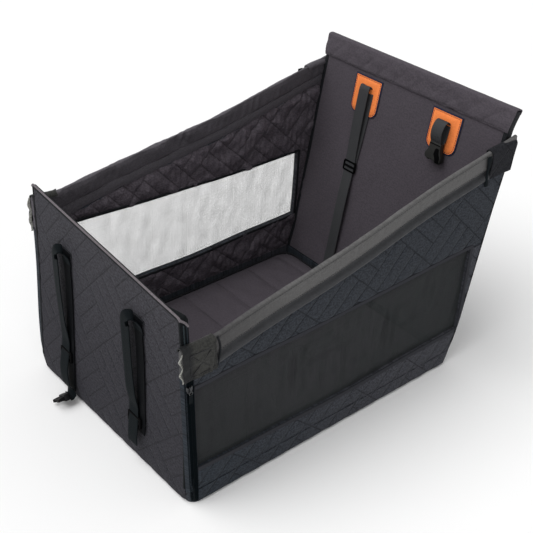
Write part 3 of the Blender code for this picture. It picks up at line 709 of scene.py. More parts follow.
def wall_grid(front, low, high):
    """Places (along, height) over a band of wall, whose low and high edges vary along it."""
    middle = 0.5 * float(low(np.array(0.3)) + high(np.array(0.3)))
    length = float(rear_edge(middle)) - front
    tall = float(high(np.array(0.5)) - low(np.array(0.3)))
    share = np.linspace(0, 1, int(length / quilt_step) + 2)[None, :]
    climb = np.linspace(0, 1, max(4, int(tall / quilt_step) + 2))[:, None]
    along = front + length * share
    for _ in range(3):
        height = low(along) + (high(along) - low(along)) * climb
        along = front + (rear_edge(height) - front) * share
    return np.broadcast_arrays(along, height)


def wall_slab(name, side, outer_depth, inner_depth, along, height, uv, material, lined=False):
    """Cloth between two depths of a side wall; a lined piece has the inner cloth inside."""
    outer = round_corners(wall_place(side, outer_depth, along, height))
    inner = round_corners(wall_place(side, inner_depth, along, height))
    piece = dress(slab(name, outer, inner, uv), material, 50)
    return two_faced(piece, outer.shape) if lined else piece


def wall_cloth(name, side, front, low, high, phase, material=quilt):
    """A quilted band of wall from front to the seat's rear edge."""
    along, height = wall_grid(front, low, high)
    a, b = pattern(along, height, phase)
    from_edge = np.minimum(height - low(along), high(along) - height)
    calm = smooth(0.0005, 0.0120, from_edge)
    outer_rise = quilt_height(a, b, 11) * calm
    inner_rise = quilt_height(a, b, 17) * (1.8 if side < 0 else 1.2) * calm
    crumple = 0.0009 * waves(along, height, 0.045, 23) * smooth(0.03, 0.07, height)
    if side < 0:
        crumple = 2.4 * crumple + 0.0012 * waves(along, 0.6 * height, 0.020, 24)
    outer_depth = wall_thickness - seam_sink + outer_rise
    inner_depth = seam_sink - inner_rise + crumple
    return wall_slab(name, side, outer_depth, inner_depth, along, height, paired(a, b), material, True)


def two_faced(piece, shape):
    """Gives a slab's inner side the inner cloth."""
    outside = (shape[0] - 1) * (shape[1] - 1)
    return second_cloth(piece, quilt_inner, lambda face: outside <= face.index < 2 * outside)


# Mesh window: its low and high edges by side, and its rear edge, which leans back
window_front = 0.0195
window_mid_dip = 0.008
window_dip_end = 0.63
window_straight_end = 0.60
window_rise_run = 0.62
window_rear_foot = 0.622
window_rear_slope = 0.07
window_corner_radius = 0.002
window_low = {1: 0.080, -1: 0.108}
window_high = {1: 0.2405, -1: 0.2640}
window_high_rise = {1: 0.013, -1: -0.006}


def mesh_low(side):
    return lambda s: window_low[side] - window_mid_dip * np.sin(
        math.pi * np.clip(s / window_dip_end, 0, 1)
    )


def mesh_high(side):
    return lambda s: window_high[side] + window_high_rise[side] * s / window_rise_run


def mesh_rear(side):
    return lambda z: window_rear_foot + (z - window_low[side]) * window_rear_slope


# Wall cloth: where the bands start, meet the rail and pass under their neighbours
band_start = 0.0190
band_under_rail = 0.050
zip_top_drop = 0.054
zip_top_step = (0.0175, 0.0200)
rear_band_tuck = 0.001


def build_wall_cloth(side, name):
    phase = {1: right_lower_phase, -1: left_phase}[side]
    upper_phase = {1: right_upper_phase, -1: left_phase}[side]
    lower = wall_cloth(f"{name}_wall_lower", side, band_start,
                       lambda s: 0 * s + skirt_height, mesh_low(side), phase)
    on_wall(lower, f"{name}_wall_lower_band", slot="quilted_fabric", fill=0.3)

    zip_top = rail_front_height - zip_top_drop

    def upper_low(s):
        return zip_top + (mesh_high(side)(s) - zip_top) * smooth(*zip_top_step, s)

    # On the right the upper band takes the quilt's darker copy: painted shade under the rail.
    upper = wall_cloth(f"{name}_wall_upper", side, 0.0, upper_low,
                       lambda s: rail_top(s) - band_under_rail, upper_phase,
                       quilt_upper_painted_shade if side > 0 else quilt)
    on_wall(upper, f"{name}_wall_upper_band", slot="quilted_fabric", fill=0.3)

    def band_front(z):
        return mesh_rear(side)(z) - rear_band_tuck

    low, high = mesh_low(side)(window_dip_end), mesh_high(side)(window_dip_end)
    climb = np.linspace(0, 1, int((high - low) / quilt_step))[:, None]
    across = np.linspace(0, 1, 18)[None, :]
    height = low + (high - low) * climb + 0 * across
    along = band_front(height) + (rear_edge(height) - band_front(height)) * across
    a, b = pattern(along, height, upper_phase)
    rise = quilt_height(a, b, 29) * smooth(0.0, 0.3, across) * smooth(1.0, 0.8, across)
    piece = wall_slab(f"{name}_wall_rear", side, wall_thickness - seam_sink + rise,
                      seam_sink - rise, along, height, paired(a, b), quilt, True)
    on_wall(piece, f"{name}_wall_rear_band", slot="quilted_fabric", fill=0.3)


def wall_strip(name, side, route, width, depth, thickness, material, turn_out):
    """A flat tape along a route of (along, height) places on a wall."""
    route = np.asarray(route, dtype=float)
    normal = beside(route)
    offset = tape_shares[None, :] * width / 2
    along = route[:, :1] + normal[:, :1] * offset
    height = route[:, 1:] + normal[:, 1:] * offset
    direction = 1 if turn_out else -1
    face = wall_place(side, depth + direction * thickness * tape_crown_shares[None, :], along, height)
    back = wall_place(side, depth - direction * tape_back + 0 * offset, along, height)
    uv = paired(offset, run_along(route)[:, None])
    piece = slab(name, round_corners(face), round_corners(back), uv)
    return dress(piece, material, 60)


# A tape's section: shares of its half width and of its thickness
tape_shares = np.array([-1.0, -0.86, -0.5, 0.0, 0.5, 0.86, 1.0])
tape_crown_shares = np.array([0.25, 0.85, 1.0, 1.0, 1.0, 0.85, 0.25])
tape_back = 0.0006


def rounded_route(corners, radius, step=0.006):
    """A route through corners, each turned on a radius."""
    corners = [np.array(corner, dtype=float) for corner in corners]
    points = [corners[0]]
    for before, corner, after in zip(corners, corners[1:], corners[2:]):
        one = (before - corner) / np.linalg.norm(before - corner)
        two = (after - corner) / np.linalg.norm(after - corner)
        start, end = corner + one * radius, corner + two * radius
        for share in np.linspace(0, 1, 7):
            points.append(start * (1 - share) ** 2 + 2 * corner * share * (1 - share) + end * share**2)
    points.append(corners[-1])
    fine = [points[0]]
    for here, there in zip(points, points[1:]):
        length = np.linalg.norm(there - here)
        count = max(1, int(length / step))
        for number in range(1, count + 1):
            fine.append(here + (there - here) * number / count)
    return np.array(fine)


def window_route(side, offset):
    """Round the window from its front lower corner to its front upper one."""
    low, high, rear = mesh_low(side), mesh_high(side), mesh_rear(side)
    ahead = np.linspace(window_front, window_straight_end, 30)
    back = np.linspace(window_straight_end, window_front, 30)
    foot, head = low(window_dip_end), high(window_dip_end)
    corners = [(s, low(s) - offset) for s in ahead]
    corners += [(rear(foot) + offset, foot - offset), (rear(head) + offset, head + offset)]
    corners += [(s, high(s) + offset) for s in back]
    return rounded_route(corners, window_corner_radius)


# Tapes round the window: name, offset, width, depth, thickness, cloth and whether outside
window_tapes = (
    ("binding", 0.0038, 0.0088, wall_thickness + 0.0002, 0.0009, window_cloth, True),
    ("facing", 0.0022, 0.0050, -0.0006, 0.0014, binding_cloth, False),
)


def build_window_binding(side, name):
    for part, offset, *tape_values in window_tapes:
        tape = wall_strip(f"{name}_window_{part}", side, window_route(side, offset), *tape_values)
        on_wall(tape, slot="trim_fabric")


# Mesh: its threads, and how far it is tucked in and waves
thread_pitch = 0.0015
mesh_tuck = 0.003
mesh_wave = 0.0026
mesh_ripple = 0.0006
thread_widths = {1: 0.00050, -1: 0.00021}


def build_mesh_window(side, name):
    """Open mesh: fine threads up and along, which wave a little as one sheet."""
    low, high, rear = mesh_low(side), mesh_high(side), mesh_rear(side)
    length = rear(0.16) - window_front
    tall = high(0.3) - low(0.3)
    random = np.random.default_rng(7)

    def place(t, u, depth):
        s = window_front - mesh_tuck + (length + 2 * mesh_tuck) * t
        for _ in range(2):
            z = low(s) - mesh_tuck + (high(s) - low(s) + 2 * mesh_tuck) * u
            s = window_front - mesh_tuck + (rear(z) - window_front + 2 * mesh_tuck) * t
        loose = np.sin(math.pi * np.clip(u, 0, 1)) * np.sin(math.pi * np.clip(t, 0, 1))
        wave = mesh_wave * waves(s, z, 0.16, 60 + side) + mesh_ripple * waves(s, 0.2 * z, 0.03, 62)
        return wall_point(side, wall_thickness / 2 + wave * loose + depth, s, z)

    half = thread_widths[side] / 2
    section = [(-half, -half), (half, -half), (half, half), (-half, half)]
    vertices = []
    faces = []
    for upright, number, stations in (
        (True, int(length / thread_pitch), 9), (False, int(tall / thread_pitch), 27)
    ):
        centres = (np.arange(number) + 0.5) / number + random.normal(0, 0.10 / number, number)
        run = np.linspace(0, 1, stations)
        for centre in centres:
            rings = []
            for beside_share, out in section:
                if upright:
                    thick = 1 + 0.45 * waves(centre * length, 0.12 * run, 0.030, 9)
                    t = centre + beside_share / length * np.clip(thick, 0.3, 2.2)
                    rings.append(place(t, run, out))
                else:
                    rings.append(place(run, centre + beside_share / tall + 0 * run, out))
            base = 4 * sum(len(part) for part in vertices)
            vertices.append(np.stack(rings, axis=1))
            faces.extend(grid_faces(stations, 4, base, wrap=True))
            faces.append([base + 3, base + 2, base + 1, base])
            last = base + (stations - 1) * 4
            faces.append([last, last + 1, last + 2, last + 3])
    piece = mesh_piece(f"{name}_mesh", np.concatenate(vertices).reshape(-1, 3), faces)
    dress(piece, mesh_thread)
    on_wall(piece, f"{name}_mesh_window", slot="mesh_fabric")


def build_zip(side, name):
    """The zip up the front corner, on the narrow post of wall cloth that carries it."""
    high = rail_front_height - zip_top_drop - 0.0005
    post_share = np.linspace(0, 1, 12)[None, :]
    z = np.linspace(skirt_height, high, 100)[:, None]
    s = post_front + post_width * post_share + 0 * z
    a, b = pattern(s, z + 0 * s, {1: right_lower_phase, -1: left_phase}[side])
    bulge = post_bulge * np.sin(math.pi * post_share) + 0 * z
    post = wall_slab(f"{name}_front_post", side, wall_thickness - 0.0009 + bulge,
                     post_front - bulge, s, z, paired(a, b), quilt, True)
    on_wall(post, slot="quilted_fabric", fill=0.2)

    s = np.linspace(tape_front, tape_front + tape_width, 9)[None, :]
    s, z = np.broadcast_arrays(s, np.linspace(zip_low, high, 90)[:, None])
    bow = 0.0004 * np.sin(math.pi * (s - tape_front) / tape_width) + 0.0002 * waves(s, z, 0.05, 5)
    tape = wall_slab(f"{name}_zip_tape", side, wall_thickness + 0.0011 + bow,
                     wall_thickness - 0.0006 + 0 * s, s, z, paired(s - zip_line, z), zip_tape)
    on_wall(tape, f"{name}_front_zip", slot="zip_tape")

    count = int((high - zip_low - 2 * coil_inset) / coil_pitch)
    stations = np.arange(count * 3)
    height = (zip_low + coil_inset + stations * coil_pitch / 3)[:, None]
    radius = np.where(stations % 3 == 0, coil_neck, coil_radius)[:, None]
    angle = full_turn(8)[None, :]
    along = zip_line + 1.3 * radius * np.cos(angle)
    depth = wall_thickness + 0.0019 + 0.8 * radius * np.sin(angle)
    rings = round_corners(wall_place(side, depth, along, height + 0 * along))
    coil = tube(f"{name}_zip_coil", rings, paired(along, height))
    dress(coil, zip_teeth)
    on_wall(coil, slot="zip_tape")


# Zip: its line, tape and coil, and the post under them, all measured back from the corner
zip_line = 0.0095
zip_low = 0.0035
tape_front = 0.0018
tape_width = 0.0164
coil_pitch = 0.0013
coil_inset = 0.003
coil_neck = 0.0007
coil_radius = 0.0012
post_front = 0.0004
post_width = 0.0194
post_bulge = 0.0006


def build_rail(side, name):
    """The padded sleeve along the wall's top edge, its stitching and the bead under it."""
    angle = full_turn(34)
    unit_depth, unit_drop = (fuller(wave(angle), sleeve_squareness) for wave in (np.cos, np.sin))
    stations = np.linspace(0, 1, 230)[:, None]
    drop = sleeve_height / 2 * (1 - unit_drop)[None, :]
    half = sleeve_depth / 2
    s = sleeve_inset + (rail_end(drop) - 2 * sleeve_inset) * stations
    round_run = np.concatenate([[0], np.cumsum(np.abs(np.diff(drop[0])))])
    wrinkle = 0.00045 * waves(s, 0.30 * drop, 0.012, 71) * (0.5 + 0.5 * waves(s, drop, 0.12, 72))
    swell = 0.0007 * waves(s, drop, 0.09, 73)
    seam = -0.0011 * np.exp(-(((drop - rail_seam_drops[0]) / 0.0011) ** 2))
    ends = smooth(0, 0.02, stations) * smooth(0, 0.02, 1 - stations)
    amount = {1: 0.8, -1: 2.8}[side]
    fullness = half - 0.0006 + seam + amount * (wrinkle + swell) * ends
    depth = half + unit_depth[None, :] * fullness
    rings = wall_point(side, depth, s, rail_top(s) - drop - 0.0004)
    sleeve = tube(f"{name}_rail_cover", rings, paired(s, round_run[None, :]))
    dress(sleeve, rail_cloth if side > 0 else rail_inner, 60)
    inside = [f"{name}_rail_{part}" for part in ("sleeve", "webbing", "foam")]
    on_wall(sleeve, *inside, slot="sleeve_fabric", fill=0.7)

    for number, line_drop in enumerate(rail_seam_drops):
        line = np.linspace(0.064, float(rail_end(line_drop)) - 0.070, 300)
        depth = sleeve_depth - 0.0006 - 0.0001 * number
        points = wall_point(side, depth, line, rail_top(line) - line_drop)
        stitches = stitches_along(f"{name}_rail_stitching_{number + 1}", points, (side, 0, 0), thread)
        on_wall(stitches, slot="sleeve_fabric")

    depth = np.array([place[0] for place in bead_profile])[None, :]
    drop = np.array([place[1] for place in bead_profile])[None, :]
    s = bead_inset + (rail_end(drop) - 2 * bead_inset) * stations
    ripple = 0.0004 * waves(s, drop, 0.030, 75) + 0.0005 * waves(s, drop, 0.15, 76)
    outward = np.where(depth > 0.006, 1.0, 0.0)
    rings = wall_point(side, depth + ripple * outward, s, rail_top(s) - drop + ripple)
    hem = tube(f"{name}_rail_bead", rings, paired(s, drop))
    dress(hem, hem_cloth if side > 0 else rail_inner, 60)
    on_wall(hem, f"{name}_rail_hem", slot="trim_fabric")


# Rail: how square the sleeve is, its seams, and the bead's section as (depth, drop)
sleeve_squareness = 0.62
sleeve_inset = 0.0012
rail_seam_drops = (0.0042, 0.0290)
bead_inset = 0.0008
bead_profile = (
    (0.0008, 0.0325), (0.0068, 0.0325), (0.0066, 0.0372), (0.0072, 0.0402),
    (0.0104, 0.0416), (0.0128, 0.0440), (0.0134, 0.0472), (0.0126, 0.0505),
    (0.0104, 0.0528), (0.0086, 0.0532), (0.0078, 0.0500), (0.0008, 0.0500),
    (0.0004, 0.0480), (-0.0002, 0.0420), (0.0002, 0.0370), (0.0008, 0.0340),
)


stitch_length = 0.0032
stitch_gap = 0.0013
stitch_half = 0.00028


def stitch_box(vertices, faces, start, end, across, lift):
    """One stitch: a slim arched bar from start to end."""
    start, end = np.array(start), np.array(end)
    middle = (start + end) / 2 + lift * 1.2
    base = len(vertices)
    for centre in (start, middle, end):
        raised = centre if centre is middle else centre + 0.3 * lift
        for side, rise in ((-1, -1.0), (1, -1.0), (1, 0.4), (-1, 0.4)):
            vertices.append(tuple(raised + side * across + rise * lift))
    faces.extend(grid_faces(3, 4, base, wrap=True))
    faces.append([base + 3, base + 2, base + 1, base])
    faces.append([base + 8, base + 9, base + 10, base + 11])


def stitches_along(name, points, normals, material):
    """Stitches along a line of close points; normals point off the cloth."""
    points = np.asarray(points, dtype=float)
    normals = np.broadcast_to(np.asarray(normals, dtype=float), points.shape)
    run = run_along(points)

    def at(distance, values):
        return np.array([np.interp(distance, run, values[:, k]) for k in range(3)])

    vertices = []
    faces = []
    place = 0.0
    while place + stitch_length < run[-1]:
        start, end = at(place, points), at(place + stitch_length, points)
        normal = at(place, normals)
        normal /= np.linalg.norm(normal)
        across = np.cross(end - start, normal)
        across *= stitch_half / np.linalg.norm(across)
        stitch_box(vertices, faces, start, end, across, normal * stitch_half)
        place += stitch_length + stitch_gap
    return dress(mesh_piece(name, vertices, faces), material)


def hooked_piece(name, side, front, rear, drops, lift, thickness, material, sag=0.0):
    """Cloth that lies over the rail: up its inside a little, over its top and down outside."""
    half = sleeve_depth / 2
    inside_drop, outside_drop = drops
    profile = [(-hook_inner, d) for d in np.linspace(inside_drop, hook_centre_drop, 4)]
    for a in np.linspace(0, math.pi, 11)[1:-1]:
        over = hook_centre_drop * (1 - math.sin(a)) - hook_outer
        profile.append((half - (half + hook_inner) * math.cos(a), over))
    outside = np.linspace(hook_centre_drop, outside_drop, 16)
    profile = np.array(profile + [(sleeve_depth + hook_outer, d) for d in outside])
    normal = beside(profile)
    if normal[-1, 0] < 0:
        normal = -normal
    shares = np.linspace(0, 1, 26)[:, None]
    drop = profile[None, :, 1] + 0 * shares
    s = front(drop) + (rear(drop) - front(drop)) * shares
    pucker = 0.0006 * waves(s, drop, 0.022, 81) + 0.0005 * waves(s, drop, 0.05, 82)
    edge = smooth(0, 0.05, shares) * smooth(0, 0.05, 1 - shares)
    off = lift(s, drop) + pucker * edge
    top = rail_top(s) - sag * shares**1.5

    def skin(away):
        depth = profile[None, :, 0] + normal[None, :, 0] * away
        return wall_point(side, depth, s, top - (drop + normal[None, :, 1] * away))

    piece = slab(name, skin(off + thickness), skin(off), paired(s, run_along(profile)[None, :]))
    return dress(piece, material, 60)


# How far cloth over the rail stands off it inside and outside, and where it turns over
hook_inner = 0.0004
hook_outer = 0.0006
hook_centre_drop = 0.0050


# Folds down the tab: how far back, how wide and how high each is
tab_folds = (
    (0.0175, 0.0022, -0.0008), (0.0255, 0.0050, 0.0007), (0.0455, 0.0018, -0.0008),
    (0.0500, 0.0024, 0.0016), (0.0545, 0.0016, -0.0007),
)


def build_tab(side, name):
    def lift(s, drop):
        curl = smooth(0.016, 0.0, s) * smooth(0.004, 0.03, drop)
        rise = 0.0022 * curl * (0.6 + 0.4 * np.sin(drop * 260.0))
        for place, reach, amount in tab_folds:
            off = s - place - 0.0030 * np.sin(drop * 70.0)
            rise = rise + amount * np.exp(-((off / reach) ** 2)) * smooth(0.002, 0.016, drop)
        return 0.0010 + rise

    def front(drop):
        forward = smooth(0.006, 0.016, drop)
        return 0.0008 * (1 - forward) - 0.0012 * forward * (1 + np.sin(drop * 210.0))

    tab = hooked_piece(f"{name}_tab_webbing", side, front, lambda drop: tab_reach + 0 * drop,
                       tab_drops, lift, tab_thickness, tab_webbing)
    on_wall(tab, f"{name}_front_tab", slot="webbing")

    low, high, ahead, behind = tab_box
    corners = [
        [(ahead, low), (behind, low), (behind, high), (ahead, high), (ahead, low)],
        [(ahead, low), (behind, high)], [(behind, low), (ahead, high)], tab_edge_seam,
    ]
    for number, corner in enumerate(corners):
        fine = rounded_route(corner, 0.0004, 0.002) if len(corner) > 2 else np.linspace(*corner, 30)
        s, drop = fine[:, 0], fine[:, 1]
        points = wall_point(side, sleeve_depth + tab_seam_height, s, rail_top(s) - drop)
        seam = stitches_along(f"{name}_tab_seam_{number + 1}", points, (side, 0, 0), thread)
        if number < 3:
            sunk = points - np.array([side * 0.0004, 0.0, 0.0])
            groove = cord_tube(f"{name}_tab_groove_{number + 1}", sunk, 0.00055, thread, sides=6)
            join_into(seam, groove)
        on_wall(seam, slot="webbing")

    # A ruffled edge of hook tape shows along the tab's front end
    drop = np.linspace(*hook_tape_drops, 60)
    ruffle = 0.0022 * np.sin(drop * 250.0 + 0.8)
    depth = sleeve_depth - 0.0006 + 0.0012 * np.sin(drop * 250.0)
    rows = []
    for out, forward in hook_tape_profile:
        s = forward - 0.0004 + ruffle * (0.5 - forward / 0.0068)
        rows.append(wall_point(side, depth + out, s, rail_front_height - drop))
    outer = np.stack(rows)
    inner = outer - np.array([side * hook_tape_thickness, 0.0, 0.0])
    uv = paired(np.arange(4)[:, None] * 0.0018, drop[None, :])
    tape = dress(slab(f"{name}_tab_hook_tape", outer, inner, uv), hook_tape)
    on_wall(tape, slot="trim_fabric")

    # The rail cover's end seam curves down behind the tab
    drop = np.linspace(-0.0004, roll_drop, 40)
    share = drop / roll_drop
    s = roll_place + 0.0062 * np.sin(math.pi * np.clip(share, 0, 1)) - 0.0035 * share
    centre = wall_point(side, sleeve_depth + 0.0005, s, rail_top(s) - drop)
    on_wall(cord_tube(f"{name}_tab_roll", centre, roll_radius, binding_cloth), slot="trim_fabric")


# Tab: its reach back, its drops inside and outside the rail, its box stitching
# (low, high, ahead, behind), its edge seam and the end seam rolled behind it
tab_reach = 0.0600
tab_drops = (0.004, 0.0555)
tab_thickness = 0.0018
tab_box = (0.0100, 0.0500, 0.0120, 0.0540)
tab_edge_seam = [(0.0575, 0.0030), (0.0575, 0.0535), (0.0040, 0.0535)]
tab_seam_height = 0.0040
hook_tape_drops = (0.0035, 0.0570)
hook_tape_profile = ((0.0, 0.0008), (0.0008, -0.0008), (0.0012, -0.0024), (0.0008, -0.0034))
hook_tape_thickness = 0.0011
roll_drop = 0.056
roll_place = 0.0640
roll_radius = 0.0017


def cord_tube(name, centre, radius, material, sides=10):
    """A round cord through close points."""
    centre = np.asarray(centre, dtype=float)
    ahead = headings(centre)
    guide = np.array([0.0, 0.0, 1.0]) if abs(ahead[0, 2]) < 0.8 else np.array([1.0, 0.0, 0.0])
    angle = full_turn(sides)[:, None]
    rings = []
    for point, direction in zip(centre, ahead):
        guide = guide - direction * np.dot(guide, direction)
        guide /= np.linalg.norm(guide)
        other = np.cross(direction, guide)
        rings.append(point + radius * (np.cos(angle) * guide + np.sin(angle) * other))
    around = np.linspace(0, 2 * math.pi * radius, sides)
    uv = paired(around[None, :], run_along(centre)[:, None])
    return dress(tube(name, np.stack(rings), uv), material, 60)


def build_rear_flap(side, name):
    def lift(s, drop):
        return 0.0005 + 0.0012 * smooth(0.02, 0.05, drop) * (0.5 + 0.5 * np.sin(s * 190.0))

    def front(drop):
        return rail_end(0) - rear_flap_reach + 0.0016 * np.sin(drop * 120.0)

    flap = hooked_piece(f"{name}_rear_wrap", side, front, lambda drop: rail_end(drop) - 0.0030,
                        rear_flap_drops, lift, rear_flap_thickness,
                        flap_cloth if side > 0 else rail_inner, sag=rear_flap_sag)
    on_wall(flap, f"{name}_rear_flap", slot="quilted_fabric")

    z = np.linspace(skirt_height + 0.002, rail_rear_height - 0.052, 120)
    route = paired(rear_edge(z) - rear_binding_inset, z)
    for where, depth, turned in (("outer", wall_thickness + 0.0004, True), ("inner", -0.0008, False)):
        strip = wall_strip(f"{name}_rear_{where}_binding", side, route, rear_binding_width, depth,
                           rear_binding_thickness, binding_cloth, turned)
        on_wall(strip, slot="trim_fabric")


# Flap over the sleeve's rear end, and the binding down the wall's rear edge
rear_flap_reach = 0.0660
rear_flap_drops = (0.0060, 0.0500)
rear_flap_thickness = 0.0017
rear_flap_sag = 0.0085
rear_binding_inset = 0.0055
rear_binding_width = 0.0110
rear_binding_thickness = 0.0013


def build_rear_pull(side, name):
    """A narrow pull tape that hangs beside the rear flap."""
    low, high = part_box(f"{name}_rear_pull")
    middle_y = (low.y + high.y) / 2 + pull_back
    share = np.linspace(0, 1, 40)
    z = (high.z + 0.006 + (low.z + 0.003 - high.z - 0.006) * share)[:, None]
    wide = 0.0058 - 0.0026 * smooth(0.05, 0.5, share) + 0.0012 * smooth(0.7, 1.0, share)
    x = (abs(low.x if side < 0 else high.x) + 0.0008 + 0.0008 * np.sin(share * 7))[:, None]
    y = middle_y + wide[:, None] * pull_shares[None, :]
    outer, inner = (
        paired(side * (x + out * pull_half * pull_crown_shares[None, :]), y, z) for out in (1, -1)
    )
    pull = slab(f"{name}_rear_pull_tape", outer, inner, paired(y - middle_y, z))
    dress(pull, webbing, 60)
    on_wall(pull, f"{name}_rear_pull", body=f"{name}_rear_pull", slot="webbing")


# Rear pull: how far it hangs back, its half thickness and its section's shares
pull_back = 0.020
pull_half = 0.0011
pull_shares = np.array([-1.0, -0.7, 0.0, 0.7, 1.0])
pull_crown_shares = np.array([0.4, 1.0, 1.0, 1.0, 0.4])


# Base


def perimeter():
    """Places round the base: x, y, outward x, outward y, and the quilting's coordinates."""
    rows = []
    length, width = 2 * half_length, 2 * half_width
    count_long, count_short = int(length / perimeter_step), int(width / perimeter_step)
    for k in range(count_long):
        s = length * k / count_long
        rows.append((half_width, s - half_length, 1, 0, s, right_lower_phase))
    for k in range(count_short):
        x = half_width - width * k / count_short
        rows.append((x, half_length, 0, 1, x, back_phase))
    for k in range(count_long):
        s = length - length * k / count_long
        rows.append((-half_width, s - half_length, -1, 0, s, left_phase))
    for k in range(count_short):
        x = width * k / count_short - half_width
        rows.append((x, -half_length, 0, -1, x, front_phase))
    return rows


def build_base_skirt():
    """The base's cover: quilted sides, a tray inside them and a plain underside."""
    rows = perimeter()
    x, y, out_x, out_y, along = (np.array([row[k] for row in rows]) for k in range(5))
    shifts = np.array([pattern(0, 0, row[5]) for row in rows])
    upright = out_y == 0
    under_skin = np.where(upright, 0, smooth(0.2390, 0.2375, np.abs(x)))
    under_zip = np.where(upright, smooth(0.0215, 0.0185, y + half_length), 0)
    rings = []
    uvs = []
    for height, inset in skirt_foot + [(level, 0.0) for level in np.linspace(0.0065, skirt_height, 10)]:
        # Front and back measure up from the fold, the sides from the floor
        a = along + shifts[:, 0]
        b = np.where(upright, height, height - skirt_height) + shifts[:, 1]
        rise = quilt_height(a, b, 11) * smooth(0.0, 0.006, height)
        rise = rise * (1 - under_skin) * (1 - under_zip)
        out = rise - seam_sink - inset - skin_room * under_skin
        rings.append(round_corners(paired(x + out_x * out, y + out_y * out, height)))
        uvs.append(paired(a, b))
    flat_uv = uvs[-1]
    inner_x = np.clip(x, wall_thickness - half_width, half_width - wall_thickness)
    inner_y = np.clip(y, panel_thickness - half_length, half_length - panel_thickness)
    top = skirt_height - 0.0004
    for level, share in ((top, 1.0), (top - 0.001, 0.9995), (0.0030, 0.998), (tray_floor, 0.99)):
        rings.append(settle(paired(inner_x * share, inner_y * share, level)))
        uvs.append(flat_uv)
    for share in (0.6, 0.2, 0.02):
        rings.append(settle(paired(x * share * 0.95, y * share * 0.95, tray_floor)))
        uvs.append(flat_uv)
    bottom = [paired(x * share, y * share, 0 * x) for share in (0.02, 0.3, 0.6, 0.9, 0.95)]
    bottom_uv = [ring[:, :2] for ring in bottom]
    bottom = [settle(ring) for ring in bottom]
    piece = tube("base_skirt", np.stack(bottom + rings), np.stack(bottom_uv + uvs))
    dress(piece, quilt, 50)
    second_cloth(piece, base_cloth, lambda face: face.center.z < 0.0008 and abs(face.normal.z) > 0.6)
    rigid(piece, "base", "quilted_fabric", "base_cover")

    # Tape sewn round the underside's edge
    route = box_route(half_width - base_tape_inset, half_length - base_tape_inset, 0.022)
    normal = beside(route)
    offset = np.array([-0.0045, -0.0030, 0.0, 0.0030, 0.0045])
    crown = np.array([0.0, 1.0, 1.0, 1.0, 0.0]) * 0.0004
    places = route[:, None, :] + normal[:, None, :] * offset[None, :, None]
    lower = np.concatenate([places, 0 * places[..., :1] - crown[None, :, None] + 0.0005], -1)
    upper = np.concatenate([places, 0 * places[..., :1] + 0.0010], axis=-1)
    uv = paired(offset[None, :], run_along(route)[:, None])
    tape = slab("base_tape", settle(lower), settle(upper), uv)
    rigid(dress(tape, binding_cloth, 60), "base", "trim_fabric")


# Base cover: (height, inset) up its rounded foot, its tray, and its tape's inset
perimeter_step = 0.003
skirt_foot = [(0.0000, 0.0042), (0.0006, 0.0026), (0.0020, 0.0010), (0.0040, 0.0002)]
skin_room = 0.0030
tray_floor = 0.0020
base_tape_inset = 0.013


def box_route(half_x, half_y, radius, gap=0.0, step=0.006):
    """Round a rectangle with rounded corners, from the middle of its low side."""
    corners = [(0.0, -half_y), (half_x, -half_y), (half_x, half_y), (-half_x, half_y)]
    return rounded_route([*corners, (-half_x, -half_y), (-gap, -half_y)], radius, step)


def build_base_board():
    """The stiff board in the base, between its cover and the floor pad."""
    low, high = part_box("base_board")
    x = np.linspace(low.x, high.x, board_columns)[None, :]
    y = np.linspace(low.y, high.y, board_rows)[:, None]
    upper, lower = (settle(paired(x, y, level)) for level in (high.z, low.z))
    piece = slab("base_stiffener", upper, lower, paired(x, y))
    rigid(dress(piece, board, 50), "base", "board_plastic", "base_board")


# Board and floor pad
board_columns = 30
board_rows = 40
channel_spacing = 0.085
channel_depth = 0.0036
cushion_columns = 100
cushion_rows = 124
cushion_corner = 0.030
cushion_seam = 0.0185
piping_out = 0.0022
piping_radius = 0.0021
swell_cap = 0.0028
swell_frames = 18
swell_mass = 0.2
swell_stiffness = 12
swell_bending = 0.4
swell_pressure = 4.0


def channel_distance(y):
    nearest = channel_spacing * np.round(y / channel_spacing)
    return np.abs(y - nearest)


